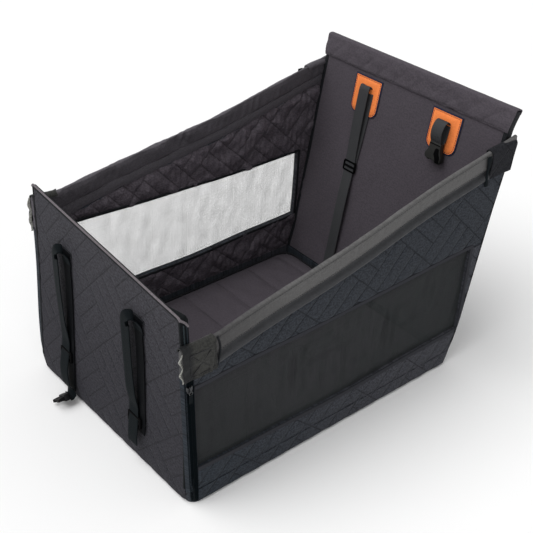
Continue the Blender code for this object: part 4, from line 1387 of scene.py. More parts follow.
def build_cushion():
    """The floor pad: a crowned pad with drawn-in sides and sewn channels across it."""
    half_x = (cushion_high.x - cushion_low.x) / 2
    half_y = (cushion_high.y - cushion_low.y) / 2
    top_z = cushion_high.z
    u = np.linspace(-1, 1, cushion_columns)[None, :]
    v = np.linspace(-1, 1, cushion_rows)[:, None]
    x = half_x * u + 0 * v
    y = half_y * v + 0 * u
    # Round the corners in plan and draw the sides in between them
    over_x = np.maximum(np.abs(x) - (half_x - cushion_corner), 0)
    over_y = np.maximum(np.abs(y) - (half_y - cushion_corner), 0)
    reach = np.maximum(np.hypot(over_x, over_y), 1e-9)
    shrink = np.where((over_x > 0) & (over_y > 0), np.maximum(over_x, over_y) / reach, 1)
    x = np.sign(x) * (np.minimum(np.abs(x), half_x - cushion_corner) + over_x * shrink)
    y = np.sign(y) * (np.minimum(np.abs(y), half_y - cushion_corner) + over_y * shrink)
    x = x * (1 - 0.008 * np.cos(math.pi * v / 2) * np.abs(u) ** 6)
    y = y * (1 - 0.005 * np.cos(math.pi * u / 2) * np.abs(v) ** 6)
    edge = np.minimum((1 - np.abs(u)) * half_x, (1 - np.abs(v)) * half_y)
    crown = 1 - np.exp(-edge / 0.014)
    channel = channel_distance(y)
    dip = np.exp(-((channel / 0.0085) ** 2)) + 0.55 * np.exp(-((channel / 0.0022) ** 2))
    fades = smooth(0, 0.02, edge)
    pull = 0.0010 * waves(x * 0.35, y, 0.016, 91) * np.exp(-channel / 0.014)
    creases = 0.0008 * waves(x, y, 0.055, 92)
    height = (top_z - cushion_seam - 0.0008) * crown - channel_depth * 0.75 * dip * fades
    top = cushion_seam + np.maximum(height + (pull + creases) * fades, 0.0004 * crown)
    low = cushion_seam - (cushion_seam - cushion_low.z) * (1 - np.exp(-edge / 0.008))
    outer = paired(x, y, np.minimum(top, top_z + 0.002))
    piece = slab("floor_pad", settle(outer), settle(paired(x, y, low)), paired(x, y))
    inflate(piece, y, edge, cushion_rows * cushion_columns)
    rigid(dress(piece, pad_cloth), "base", "lining_fabric", "floor_cushion")
    for number in range(-3, 4):
        line_y = number * channel_spacing
        span = np.linspace(-half_x + 0.012, half_x - 0.012, 200)
        row = int(np.argmin(np.abs(v[:, 0] * half_y - line_y))) * cushion_columns
        heights = [vertex.co.z for vertex in piece.data.vertices[row : row + cushion_columns]]
        z = np.interp(span, x[row // cushion_columns], heights) + 0.0003
        points = settle(paired(span, line_y, z))
        seam = stitches_along(f"floor_pad_seam_{number + 4}", points, (0, 0, 1), thread)
        rigid(seam, "base", "lining_fabric")

    # Piping in the seam round the pad
    route = box_route(half_x + piping_out, half_y + piping_out, cushion_corner, gap=0.0005)
    centre = np.concatenate([route, 0 * route[:, :1] + cushion_seam], axis=-1)
    piping = cord_tube("floor_pad_piping", settle(centre), piping_radius, pad_piping)
    rigid(piping, "base", "trim_fabric", "cushion_piping")


def inflate(piece, y, edge, top_count):
    """Swells the pad by cloth simulation, pinned at its seam and channels."""
    held = (channel_distance(y) < 0.0030) | (edge < 0.0015)
    group = piece.vertex_groups.new(name="held")
    group.add([int(k) for k in np.nonzero(held.reshape(-1))[0]], 1.0, "REPLACE")
    group.add(list(range(top_count, 2 * top_count)), 1.0, "REPLACE")
    rest = np.array([v.co for v in piece.data.vertices])
    cloth_modifier = piece.modifiers.new("swell", "CLOTH")
    settings = cloth_modifier.settings
    settings.quality = 4
    settings.mass = swell_mass
    settings.tension_stiffness = swell_stiffness
    settings.compression_stiffness = swell_stiffness
    settings.bending_stiffness = swell_bending
    settings.use_pressure = True
    settings.uniform_pressure_force = swell_pressure
    settings.vertex_group_mass = "held"
    settings.effector_weights.gravity = 0
    cloth_modifier.point_cache.frame_start = 1
    cloth_modifier.point_cache.frame_end = swell_frames
    scene = bpy.context.scene
    for number in range(1, swell_frames + 1):
        scene.frame_set(number)
    evaluated = piece.evaluated_get(bpy.context.evaluated_depsgraph_get())
    move = np.array([v.co for v in evaluated.data.vertices]) - rest
    piece.modifiers.remove(cloth_modifier)
    scene.frame_set(1)
    length = np.linalg.norm(move, axis=1)
    move *= np.minimum(1, swell_cap / np.maximum(length, 1e-9))[:, None]
    piece.data.vertices.foreach_set("co", (rest + move).astype(np.float32).ravel())
    piece.data.update()


# Panels

skin_foot = 0.0250


def panel_grid(low, high, step):
    columns = int(2 * panel_half / step)
    rows = int((high - low) / step)
    across = np.linspace(-panel_half + 0.0008, panel_half - 0.0008, columns)[None, :]
    up = np.linspace(low, high, rows)[:, None]
    return np.broadcast_arrays(across, up)


def panel_skin(name, point, high, phase, material, axis_y, relief):
    """The quilted outer side of a panel, from the floor to its top, bending at the fold."""
    across, up = panel_grid(-skin_foot, high, panel_step)
    a, b = pattern(across, up, phase)
    rise = relief * quilt_height(a, b, 13)
    place = {front_point: front_place, back_point: back_point}[point]
    outer = round_corners(place(across, panel_thickness - seam_sink + rise, up))
    inner = round_corners(place(across, panel_thickness - 0.0032 + 0 * rise, up))
    piece = dress(slab(name, outer, inner, paired(a, b)), material, 50)
    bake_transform(piece)
    return piece


def panel_layer(name, point, low_out, high_out, low, high, inset, material, body, slot, seed, node):
    """A flat layer of a panel, a little uneven."""
    across, up = panel_grid(low, high, 0.0060)
    across = across * (1 - inset / panel_half)
    swell = 0.0005 * waves(across, up, 0.11, seed) + 0.0002 * waves(across, up, 0.03, seed + 1)
    outer, inner = point(across, high_out + swell, up), point(across, low_out + swell, up)
    piece = dress(slab(name, outer, inner, paired(across, up)), material, 50)
    return rigid(piece, body, slot, node)


def edge_tape(name, point, route, wrap, inset, material, body, node):
    """Binding folded over a panel's edge; route is (across, up) with its outward normal."""
    places = np.array([(r[0], r[1]) for r in route])
    normals = np.array([(r[2], r[3]) for r in route])
    low_out, high_out = inset, panel_thickness - inset
    middle = (low_out + high_out) / 2
    half = (high_out - low_out) / 2 + 0.0010
    profile = [(low_out - 0.0009, -wrap), (low_out - 0.0012, -wrap * 0.5)]
    for angle in np.linspace(-math.pi / 2, math.pi / 2, 9):
        bow = edge_bow + edge_round * (math.cos(angle) ** 0.6 - 1)
        profile.append((middle + half * math.sin(angle), bow))
    profile += [(high_out + 0.0012, -wrap * 0.5), (high_out + 0.0009, -wrap)]
    profile += [(high_out - 0.0004, -wrap), (low_out + 0.0004, -wrap)]
    profile = np.array(profile)
    outs, away = profile[None, :, 0], profile[None, :, 1]
    across = places[:, :1] + normals[:, :1] * away
    up = places[:, 1:] + normals[:, 1:] * away
    rings = point(across, outs + 0 * across, up)
    around = run_along(profile)
    uv = paired(around[None, :] - around.mean(), run_along(places)[:, None])
    piece = dress(tube(name, rings, uv), material, 60)
    return rigid(piece, body, "trim_fabric", node)


edge_bow = 0.0006
edge_round = 0.0016


def rim_route(high):
    """Up the left edge of a panel, over its top and down its right edge, with normals."""
    half, radius, step = panel_half, rim_radius, rim_step

    def corner(side, start, end):
        for angle in np.linspace(start, end, 7):
            c, s = math.cos(angle), math.sin(angle)
            yield side * (half - radius) + radius * c, high - radius + radius * s, c, s

    route = [(-half, up, -1, 0) for up in np.arange(rim_foot, high - radius, step)]
    route += corner(-1, math.pi, math.pi / 2)
    route += [(x, high, 0, 1) for x in np.arange(radius - half + step, half - radius, step)]
    route += corner(1, math.pi / 2, 0)
    route += [(half, up, 1, 0) for up in np.arange(high - radius - step, rim_foot, -step)]
    return route


rim_foot = 0.0005
rim_radius = 0.006
rim_step = 0.006


def build_panel_layers(name, point, span, skin_gap, phase, cloth_outside, axis_y, lining_places,
                       board_places, seed, relief):
    """A panel's quilted skin, its lining and the stiff board between them."""
    body = f"{name}_panel"
    skin = panel_skin(f"{name}_skin", point, span - skin_gap, phase, cloth_outside, axis_y, relief)
    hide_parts(f"{name}_outer_cover")
    low_out, high_out, low, gap, inset = lining_places
    sheet = panel_layer(f"{name}_inner_lining", point, low_out, high_out, low, span - gap, inset,
                        lining, body, "lining_fabric", seed, f"{name}_lining")
    low_out, high_out, low, gap, inset = board_places
    panel_layer(f"{name}_stiffener", point, low_out, high_out, low, span - gap, inset,
                board, body, "board_plastic", seed + 2, f"{name}_board")


# Layers as (inner depth, outer depth, foot, gap at the top, inset at the sides)
front_lining_places = (0.0002, 0.0035, 0.001, 0.002, 0.0012)
front_board_places = (0.0043, 0.0092, 0.002, 0.007, 0.0070)
back_lining_places = (0.0000, 0.0038, 0.0035, 0.0052, 0.0020)
back_board_places = (0.0045, 0.0093, 0.004, 0.010, 0.0070)


def build_front_panel():
    body = "front_panel"
    build_panel_layers("front", front_point, front_span, 0.0015, front_phase, quilt_front,
                       front_axis_y, front_lining_places, front_board_places, 101, 0.40)
    edge_tape("front_rim", front_point, rim_route(front_span - 0.0008), 0.0055, 0.0006,
              end_cloth, body, "front_binding")
    route = rim_route(front_span + 0.0002)
    places = np.array([(r[0], r[1]) for r in route if r[3] > 0.2])
    centre = front_point(places[:, 0], panel_thickness - 0.0005, places[:, 1])
    rigid(cord_tube("front_piping", centre, edge_piping, piping_cloth), body, "trim_fabric")
    for side, name in sides:
        # The light edge turns the panel's top corners and runs down inside
        turned = [(side * (panel_half + past), out, front_span - drop) for past, out, drop in corner_turn]
        centre = laid(front_point, turned, 0.0015)
        fold = cord_tube(f"front_{name}_corner_fold", centre, edge_piping, piping_cloth)
        rigid(fold, body, "trim_fabric")
    for number, (out, material) in enumerate(((0.0040, navy_cord), (0.0092, teal_cord))):
        for side, name in sides:
            up = np.linspace(0.004, front_span - 0.012, 60)
            centre = front_point(side * (panel_half + 0.0007) + 0 * up, out, up)
            line = cord_tube(f"front_{name}_edge_cord_{number + 1}", centre, edge_cord, material, sides=6)
            rigid(line, body, "trim_fabric")


# Front panel's edge: piping and cords, and the corner's turn as (past the edge, depth, drop)
edge_piping = 0.0019
edge_cord = 0.0013
corner_turn = (
    (-0.0060, panel_thickness - 0.0008, 0.0010), (-0.0010, panel_thickness - 0.0012, 0.0030),
    (0.0010, 0.0095, 0.0052), (0.0014, 0.0050, 0.0100), (0.0010, 0.0015, 0.0165),
)


def build_back_panel():
    body = "back_panel"
    build_panel_layers("back", back_point, back_span, 0.0050, back_phase, quilt, back_axis_y,
                       back_lining_places, back_board_places, 111, 1.0)
    for side, name in sides:
        route = [(side * panel_half, up, side, 0) for up in np.linspace(0.004, back_span - 0.0045, 90)]
        edge_tape(f"back_{name}_edge", back_point, route, 0.0080, 0.0004, binding_cloth, body,
                  f"back_{name}_binding")

    # The flap over the panel's top: up inside, over and a little way down behind
    low, shoulder = back_span - flap_depth, back_span - flap_round
    profile = [(-flap_out, up) for up in np.linspace(low, shoulder, 16)]
    middle = (panel_thickness - flap_out) / 2
    half = (panel_thickness + flap_out) / 2
    for angle in np.linspace(math.pi, 0, 13)[1:-1]:
        up = shoulder + flap_round * math.sin(angle) ** 0.8
        profile.append((middle + half * math.cos(angle), up))
    for out, drop in flap_tail:
        profile.append((panel_thickness + out, back_span - drop))
    profile = np.array(profile)
    normal = beside(profile)
    columns = int(2 * panel_half / panel_step)
    across = np.linspace(-panel_half - 0.0004, panel_half + 0.0004, columns)[None, :]
    run = run_along(profile)[:, None]
    a, b = pattern(across + 0 * run, run + 0 * across, (0.0, 0.0))
    calm = 1 - 0.9 * np.exp(-(((profile[:, 1:] - back_span) / 0.009) ** 2))
    crinkle = 0.00042 * waves(a, 0.7 * b, 0.012, 34) * (0.6 + 0.4 * waves(a, b, 0.05, 35))
    relief = 0.8 * quilt_height(a, b, 31) + 0.0006 * waves(a, b, 0.034, 33) + crinkle
    rise = (0.0007 + relief * calm) * smooth(0.0, 0.004, run) * smooth(0.0, 0.004, run[-1] - run)

    def skin(away):
        return back_point(across, profile[:, :1] + normal[:, :1] * away,
                          profile[:, 1:] + normal[:, 1:] * away)

    flap = slab("back_top_wrap", skin(rise), skin(-flap_thickness), paired(a, b))
    rigid(dress(flap, top_flap_cloth, 50), body, "quilted_fabric", "back_top_flap")
    span = np.linspace(-panel_half + 0.004, panel_half - 0.004, 300)
    points = back_point(span, -flap_out - 0.0011, low + 0.0040)
    rigid(stitches_along("back_top_seam", points, (0, -1, 0.2), thread), body, "quilted_fabric")


# Flap over the back's top: its reach down inside, its stand-off and its tail behind
flap_depth = 0.0450
flap_round = 0.0040
flap_out = 0.0024
flap_thickness = 0.0016
flap_tail = ((0.0004, 0.0040), (0.0004, 0.0100), (-0.0006, 0.0110))


def build_patch(name, centre):
    """Reinforcing patch: straight top, round lower corners, edge stitched and painted."""
    low_corner, high_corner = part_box(f"back_{name}_patch")
    half = (high_corner.x - low_corner.x) / 2
    high = (high_corner.z - skirt_height) / math.cos(back_lean) - 0.0004
    low = (low_corner.z - skirt_height) / math.cos(back_lean)
    middle = np.array([0.0, (low + high) / 2])

    def outline(inset):
        h, r = half - inset, patch_radius - inset
        points = [(-h, high - inset), (0.0, high - inset), (h, high - inset)]
        for side, start, end in ((1, 0, -math.pi / 2), (-1, -math.pi / 2, -math.pi)):
            for angle in np.linspace(start, end, 10):
                x = side * (h - r) + r * math.cos(angle)
                points.append((x, low + inset + r + r * math.sin(angle)))
        return np.array(points)

    under = outline(patch_steps[0][0])
    rings = [back_point(centre + under[:, 0] * 0.5, 0 * under[:, 0],
                        middle[1] + (under[:, 1] - middle[1]) * 0.5)]
    uvs = [under * 0.5]
    for inset, out in patch_steps:
        points = outline(min(inset, patch_deepest))
        if inset > patch_deepest:
            points = middle + (points - middle) * 0.45
        bend = 0.0004 * waves(points[:, 0], points[:, 1], 0.05, 131)
        rings.append(back_point(centre + points[:, 0], out + bend - 0.0002, points[:, 1]))
        uvs.append(points)
    patch = tube(f"back_{name}_orange_patch", np.stack(rings), np.stack(uvs))
    dress(patch, orange, 40)
    second_cloth(patch, navy_edge, lambda face: face.index < 3 * len(under))
    rigid(patch, "back_panel", "patch_orange", f"back_{name}_patch")
    closed = outline(0.0034)
    closed = np.concatenate([closed, closed[:1]])
    points = back_point(centre + closed[:, 0], -0.0024, closed[:, 1])
    seam = stitches_along(f"back_{name}_patch_seam", points, (0, -1, 0.2), navy_edge)
    rigid(seam, "back_panel", "patch_orange")


# Patch: its corners, and its section from the edge in as (inset, depth)
patch_radius = 0.017
patch_deepest = 0.0165
patch_steps = (
    (-0.0012, -0.0002), (-0.0012, -0.0014), (0.0015, -0.0020), (0.0028, -0.0021),
    (0.0034, -0.0018), (0.0038, -0.0021), (0.0120, -0.0022), (0.0300, -0.0021),
)
patch_centres = {"left": -0.1045, "right": 0.1045}


# Straps: routes are (across, distance off the panel, up) places


def spline(points, step):
    """A smooth curve through the places."""
    points = np.asarray(points, dtype=float)
    before = np.concatenate([2 * points[:1] - points[1:2], points[:-1]])
    after = np.concatenate([points[1:], 2 * points[-1:] - points[-2:-1]])
    slopes = (after - before) / 2
    fine = [points[0]]
    for k in range(len(points) - 1):
        count = max(2, int(np.linalg.norm(points[k + 1] - points[k]) / step))
        for share in np.linspace(0, 1, count + 1)[1:]:
            t2, t3 = share**2, share**3
            fine.append(
                (2 * t3 - 3 * t2 + 1) * points[k]
                + (t3 - 2 * t2 + share) * slopes[k]
                + (3 * t2 - 2 * t3) * points[k + 1]
                + (t3 - t2) * slopes[k + 1]
            )
    return np.array(fine)


def laid(point, places, step=0.0035):
    """World points of a smooth curve through a panel's places."""
    return point(*spline(places, step).T)


def strap(name, centre, across, material, width=0.0285, thickness=0.0017):
    """Webbing along a centre line; across is its width's direction, one or one a point."""
    centre = np.asarray(centre, dtype=float)
    across = np.broadcast_to(np.asarray(across, dtype=float), centre.shape)
    ahead = headings(centre)
    across = across - ahead * np.sum(across * ahead, axis=1)[:, None]
    across /= np.linalg.norm(across, axis=1)[:, None]
    normal = np.cross(ahead, across)
    half, thick = width / 2, thickness / 2
    side_share, face_share = np.array(webbing_shares).T[:, None, :, None]
    rings = (
        centre[:, None, :]
        + across[:, None, :] * half * side_share
        + normal[:, None, :] * thick * face_share
    )
    uv = paired(half * side_share[..., 0], run_along(centre)[:, None])
    return dress(tube(name, rings, uv), material, 60)


# Webbing's section: shares of its half width and half thickness
webbing_shares = (
    (-1.0, 0.0), (-0.985, 0.7), (-0.93, 1.0), (-0.5, 0.92), (0.0, 0.88), (0.5, 0.92),
    (0.93, 1.0), (0.985, 0.7), (1.0, 0.0), (0.985, -0.7), (0.93, -1.0),
    (0.5, -0.92), (0.0, -0.88), (-0.5, -0.92), (-0.93, -1.0), (-0.985, -0.7),
)


def rigid(piece, body, slot, *nodes):
    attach(piece, body)
    if nodes:
        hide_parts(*nodes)
    return piece


def bar_ring(name, point, centre, half_x, half_up, bar, thick, out):
    """A moulded slide: a rounded frame with a bar across its middle."""
    frame_route = box_route(half_x, half_up, slide_radius, 0.0004, 0.003)
    outward = -beside(frame_route)
    angle = full_turn(12)[None, :]
    wide = fuller(np.cos(angle), slide_squareness) * bar / 2
    deep = fuller(np.sin(angle), slide_squareness) * thick / 2
    x = centre[0] + frame_route[:, :1] + outward[:, :1] * wide
    up = centre[1] + frame_route[:, 1:] + outward[:, 1:] * wide
    frame_piece = tube(name, point(x, out + deep + 0 * x, up))
    across = np.linspace(-half_x, half_x, 14)[:, None]
    bow = -0.0012 * np.cos(across / half_x * math.pi / 2)
    middle = point(centre[0] + across + 0 * wide, out + deep + bow, centre[1] + wide * 1.1 + 0 * across)
    join_into(frame_piece, tube(f"{name}_bar", middle))
    return dress(frame_piece, black_plastic_and_painted_shade, 50)


slide_radius = 0.0030
slide_squareness = 0.7


def build_slide(name, point, lean, shift, sizes, out):
    """A strap's slide, level with its solid in the frame."""
    node = f"{name}_triglide"
    (low, high), (strap_low, strap_high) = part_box(node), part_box(f"{name}_strap")
    up = ((low.z + high.z) / 2 - skirt_height) / math.cos(lean)
    x = (strap_low.x + strap_high.x) / 2 + shift
    rigid(bar_ring(f"{name}_slide", point, (x, up), *sizes, out), node, "buckle_plastic", node)


def join_into(piece, other):
    """Adds the other piece's faces to the first's mesh and removes it."""
    shape = bmesh.new()
    shape.from_mesh(piece.data)
    shape.from_mesh(other.data)
    shape.to_mesh(piece.data)
    shape.free()
    bpy.data.objects.remove(other)
    return piece


# Front straps: how far the plug hangs aside, how far each leg is turned, and where each slide is
plug_shift = 0.030
strap_turns = {"left": math.radians(8), "right": math.radians(2)}
slide_shifts = {"left": 0.010, "right": 0.006}
front_slide_sizes = (0.0168, 0.0098, 0.0050, 0.0046)
front_slide_out = 0.0052
front_under_width = 0.0235
slot_corners = ((0.007, -0.0052), (0.037, -0.0052), (0.037, 0.0018), (0.007, 0.0018))
lip_radius = 0.0011

# Front straps' routes: (across from the strap, off the panel, up from the slot or from the fold)
front_arch = (
    (0.022, 0.0022, -0.026), (0.0215, 0.0045, -0.011), (0.016, 0.0075, -0.0050),
    (0.006, 0.0105, -0.0050), (-0.003, 0.0115, -0.013), (-0.005, 0.0115, -0.030),
)
front_falls = {
    "left": ((-0.002, 0.0110, -0.080), (0.004, 0.0095, -0.130)),
    "right": ((-0.004, 0.0105, -0.090), (0, 0.0090, -0.150)),
}
front_feet = {
    "left": (
        (0.008, 0.0068, 0.108), (0.008, 0.0047, 0.092), (0.008, 0.0047, 0.080),
        (0.008, 0.0062, 0.066), (0.010, 0.0120, 0.030), (0.018, 0.0125, 0.004),
        (0.025, 0.0090, -0.008), (plug_shift, 0.0110, -0.0165), (plug_shift, 0.0178, -0.0187),
    ),
    "right": (
        (0.003, 0.0066, 0.100), (0.003, 0.0047, 0.090), (0.003, 0.0047, 0.080),
        (0.004, 0.0060, 0.064), (0.007, 0.0105, 0.030), (0.008, 0.0110, 0.014),
    ),
}
under_fall = ((0.022, -0.0010, -0.0005), (0.022, 0.0026, -0.010), (0.023, 0.0024, -0.060))
under_foot = (
    (0.023, 0.0022, 0.150), (0.022, 0.0018, 0.105), (0.022, 0.0016, 0.085), (0.022, 0.0020, 0.066),
)
under_ends = {"left": (0.021, 0.0026, -0.012), "right": (0.021, 0.0026, 0.040)}


def hung(x, face, slot_up, from_slot, from_fold=()):
    """A strap's places on its panel, from its slot and from the panel's fold."""
    places = [(x + across, face + out, slot_up + up) for across, out, up in from_slot]
    return places + [(x + across, face + out, up) for across, out, up in from_fold]


def build_front_strap(name):
    """The webbing comes out of its slot, arches over and hangs off the panel."""
    low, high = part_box(f"front_{name}_strap")
    x = (low.x + high.x) / 2
    slot_height = joints[f"front_{name}_strap_swing"]["pos_m"][2] - skirt_height
    slot_up = slot_height / math.cos(front_lean)
    face = panel_thickness
    over = hung(x, face, slot_up, front_arch + front_falls[name], front_feet[name])
    centre = laid(front_point, over)
    share = np.linspace(0, 1, len(centre))
    turn = strap_turns[name] * smooth(0.04, 0.14, share) * (1 - smooth(0.50, 0.66, share))
    piece = strap(f"front_{name}_webbing", centre, paired(np.cos(turn), -np.sin(turn), 0.0), webbing)
    under = hung(x, face, slot_up, under_fall, (*under_foot, under_ends[name]))
    over_count = len(piece.data.polygons)
    join_into(piece, strap(f"front_{name}_under", laid(front_point, under), (1, 0, 0), webbing,
                           width=front_under_width))
    # The under leg takes the near-black webbing: painted shadow.
    second_cloth(piece, webbing_under, lambda face: face.index >= over_count)
    rigid(piece, f"front_{name}_strap", "webbing", f"front_{name}_strap")

    # A rolled lip round the slot that the webbing comes out of
    corners = [(x + across, slot_up + up) for across, up in slot_corners]
    lip = rounded_route(corners + corners[:1], 0.0015, 0.003)
    lip_centre = front_point(lip[:, 0], face + 0.0006, lip[:, 1])
    lip_piece = cord_tube(f"front_{name}_slot_lip", lip_centre, lip_radius, binding_cloth)
    rigid(lip_piece, "front_panel", "trim_fabric")
    build_slide(f"front_{name}", front_point, front_lean, slide_shifts[name], front_slide_sizes,
                face + front_slide_out)


def moulding(name, outline, thickness, place, bevel):
    """A flat moulding of an outline (a, b), place(a, b, c) giving its world points."""
    points = np.asarray(outline, dtype=float)
    count = len(points)
    half = thickness / 2
    top = [place(a, b, half) for a, b in points]
    bottom = [place(a, b, -half) for a, b in points]
    faces = [list(range(count)), list(range(2 * count - 1, count - 1, -1))]
    for k in range(count):
        after = (k + 1) % count
        faces.append([after, k, k + count, after + count])
    piece = mesh_piece(name, np.array(top + bottom), faces)
    face_out(piece)
    rounding = piece.modifiers.new("rounding", "BEVEL")
    rounding.width = bevel
    rounding.segments = 3
    rounding.limit_method = "ANGLE"
    rounding.angle_limit = math.radians(35)
    return piece


def bake_modifiers(piece):
    """Applies the piece's modifiers to its mesh."""
    evaluated = piece.evaluated_get(bpy.context.evaluated_depsgraph_get())
    final = bpy.data.meshes.new_from_object(evaluated)
    piece.modifiers.clear()
    piece.data = final
    return piece


# The plug lies rolled on its long side
plug_roll = math.radians(34)
plug_raise = 0.0042
plug_length = 0.027
plug_body = 0.012
plug_half_share = 0.38


def build_plug():
    """The side-release plug on the left front strap: body, two sprung arms and a guide."""
    low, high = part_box("front_left_plug")
    x, rear = (float(value) for value in settle(np.array([(low.x + high.x) / 2, high.y, low.z]))[:2])
    x = x + plug_shift
    front = rear - plug_length
    z = (low.z + high.z) / 2 + plug_raise
    across, above = math.cos(plug_roll), math.sin(plug_roll)
    half = (high.x - low.x) * plug_half_share
    body_front = rear - plug_body

    def place(a, b, c):
        c = c * (1.0 - 0.25 * smooth(body_front, front, b))
        return (x + a * across - c * above, b, z + a * above + c * across)

    body = [(-half + 0.002, rear), (half - 0.002, rear), (half, rear - 0.004)]
    body += [(half, body_front), (-half, body_front), (-half, rear - 0.004)]
    parts = [moulding("front_left_plug_shell", body, high.z - low.z, place, 0.0015)]
    for side in (1, -1):
        arm = [
            (half - 0.0052, body_front + 0.001), (half - 0.0010, body_front + 0.001),
            (half + 0.0002, body_front - 0.007), (half + 0.0012, body_front - 0.012),
            (half - 0.0010, front + 0.0015), (half - 0.0045, front), (half - 0.0062, front + 0.0030),
            (half - 0.0050, body_front - 0.010),
        ]
        arm = [(side * a, b) for a, b in arm]
        parts.append(moulding(f"plug_arm_{side}", arm[::side], 0.0075, place, 0.0010))
    guide = [(-0.0032, body_front + 0.001), (0.0032, body_front + 0.001)]
    guide += [(0.0028, front + 0.002), (0.0, front), (-0.0028, front + 0.002)]
    parts.append(moulding("plug_guide", guide, 0.0060, place, 0.0009))
    for part in parts:
        bake_modifiers(part)
    for part in parts[1:]:
        join_into(parts[0], part)
    dress(parts[0], plastic, 35)
    rigid(parts[0], "front_left_strap", "buckle_plastic", "front_left_plug")


def build_back_strap_left():
    low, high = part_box("back_left_strap")
    x = (low.x + high.x) / 2
    over = hung(x, 0, back_slot, tether_fall, tether_foot)
    under = hung(x, 0, back_slot, tether_under_fall, tether_under_foot)
    piece = strap("back_left_webbing", laid(back_point, over), (1, 0, 0), back_webbing, back_strap_width)
    second = strap("back_left_under", laid(back_point, under), (1, 0, 0), back_webbing, tether_under_width)
    join_into(piece, second)
    rigid(piece, "back_panel", "webbing", "back_left_strap")
    build_slide("back_left", back_point, back_lean, 0, back_slide_sizes, back_slide_out)


# Back straps: sizes, and routes like the front ones
back_slot = 0.413
back_strap_width = 0.0265
tether_under_width = 0.0255
loop_under_width = 0.0260
back_slide_sizes = (0.0155, 0.0098, 0.0042, 0.0040)
back_slide_out = -0.0050
tether_fall = (
    (0.001, 0.0045, -0.006), (0.001, -0.0030, 0), (0, -0.0075, 0.0035), (0, -0.0108, -0.004),
    (-0.001, -0.0100, -0.040), (-0.0015, -0.0082, -0.090), (-0.001, -0.0058, -0.140),
)
tether_foot = (
    (0, -0.0048, 0.251), (0, -0.0052, 0.230), (0.001, -0.0080, 0.170), (0.001, -0.0075, 0.100),
    (0, -0.0052, 0.040), (0, -0.0030, 0.018),
)
tether_under_fall = ((0.006, 0.0030, -0.004), (0.007, -0.0020, -0.012), (0.006, -0.0022, -0.080))
tether_under_foot = ((0.003, -0.0022, 0.270), (0.001, -0.0022, 0.245))
loop_front_leg = (
    (0, -0.0005, -0.004), (0, -0.0045, 0.0015), (0, -0.0105, 0.0040), (0, -0.0175, -0.001),
    (0, -0.0215, -0.014), (0, -0.0200, -0.028), (0, -0.0150, -0.038), (0, -0.0125, -0.043),
)
loop_rear_leg = (
    (0.001, -0.0028, -0.004), (0.001, -0.0036, -0.020), (0.001, -0.0058, -0.034), (0, -0.0092, -0.042),
)


# The socket and its window: shares of its half width across and of its height down
socket_outline = (
    (-0.66, 0.0), (-0.66, 0.30), (-0.74, 0.46), (-0.92, 0.62), (-0.98, 0.74), (-0.86, 0.86),
    (-0.40, 0.97), (-0.24, 0.90), (0.20, 0.90), (0.36, 1.0), (0.80, 1.0), (0.94, 0.90),
    (0.92, 0.66), (0.72, 0.44), (0.66, 0.28), (0.66, 0.0),
)
window_outline = (
    (0.14, 0.34), (0.30, 0.24), (0.56, 0.26), (0.64, 0.46), (0.84, 0.70), (0.84, 0.90),
    (0.74, 0.95), (0.42, 0.94), (0.30, 0.74), (0.10, 0.58),
)


socket_drop = 0.038
socket_length = 0.0385
socket_out = -0.0105
socket_thickness = 0.0118
socket_face = 0.0062


def moulded_piece(piece, material):
    """A moulding with its rounding applied."""
    return dress(bake_modifiers(piece), material, 35)


def build_back_loop_right():
    """A doubled loop of webbing with the side-release socket sewn into it."""
    low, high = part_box("back_right_strap")
    x = (low.x + high.x) / 2
    body = "back_right_loop"
    front, rear = (
        laid(back_point, hung(x, 0, back_slot, leg), 0.0025) for leg in (loop_front_leg, loop_rear_leg)
    )
    piece = strap("back_right_webbing", front, (1, 0, 0), back_webbing, back_strap_width)
    second = strap("back_right_webbing_under", rear, (1, 0, 0), back_webbing, loop_under_width)
    join_into(piece, second)
    rigid(piece, body, "webbing", "back_right_strap")
    for number, drop in enumerate((0.0255, 0.0335)):
        span = np.linspace(x - 0.0115, x + 0.0115, 20)
        points = back_point(span, -0.0216 + 0.0030 * number, back_slot - drop)
        seam = stitches_along(f"back_loop_seam_{number + 1}", points, (0, -1, 0.2), thread)
        rigid(seam, body, "webbing")

    low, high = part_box("back_right_socket")
    half = (high.x - low.x) / 2
    top_up = back_slot - socket_drop

    def place(a, b, c):
        return back_point(x + a * half, socket_out + c, top_up - socket_length * b)

    def place_window(a, b, c):
        return place(a, b, c - socket_face)

    name = "back_right_socket"
    shell = moulding(f"{name}_shell", socket_outline, socket_thickness, place, 0.0018)
    socket = moulded_piece(shell, socket_plastic)
    span = np.linspace(x - 0.0125, x + 0.0125, 20)
    rib_centre = back_point(span, socket_out - socket_face, top_up - socket_length * 0.10)
    rib = cord_tube(f"{name}_rib", rib_centre, 0.0009, black_plastic_and_painted_shade, sides=8)
    rigid(rib, body, "buckle_plastic")
    # The window is a thin near-black plate on the socket's face: painted shade for the opening.
    window = moulding(f"{name}_window", window_outline, 0.0010, place_window, 0.0003)
    rigid(moulded_piece(window, black_plastic_and_painted_shade), body, "buckle_plastic")
    rigid(socket, body, "buckle_plastic", name)


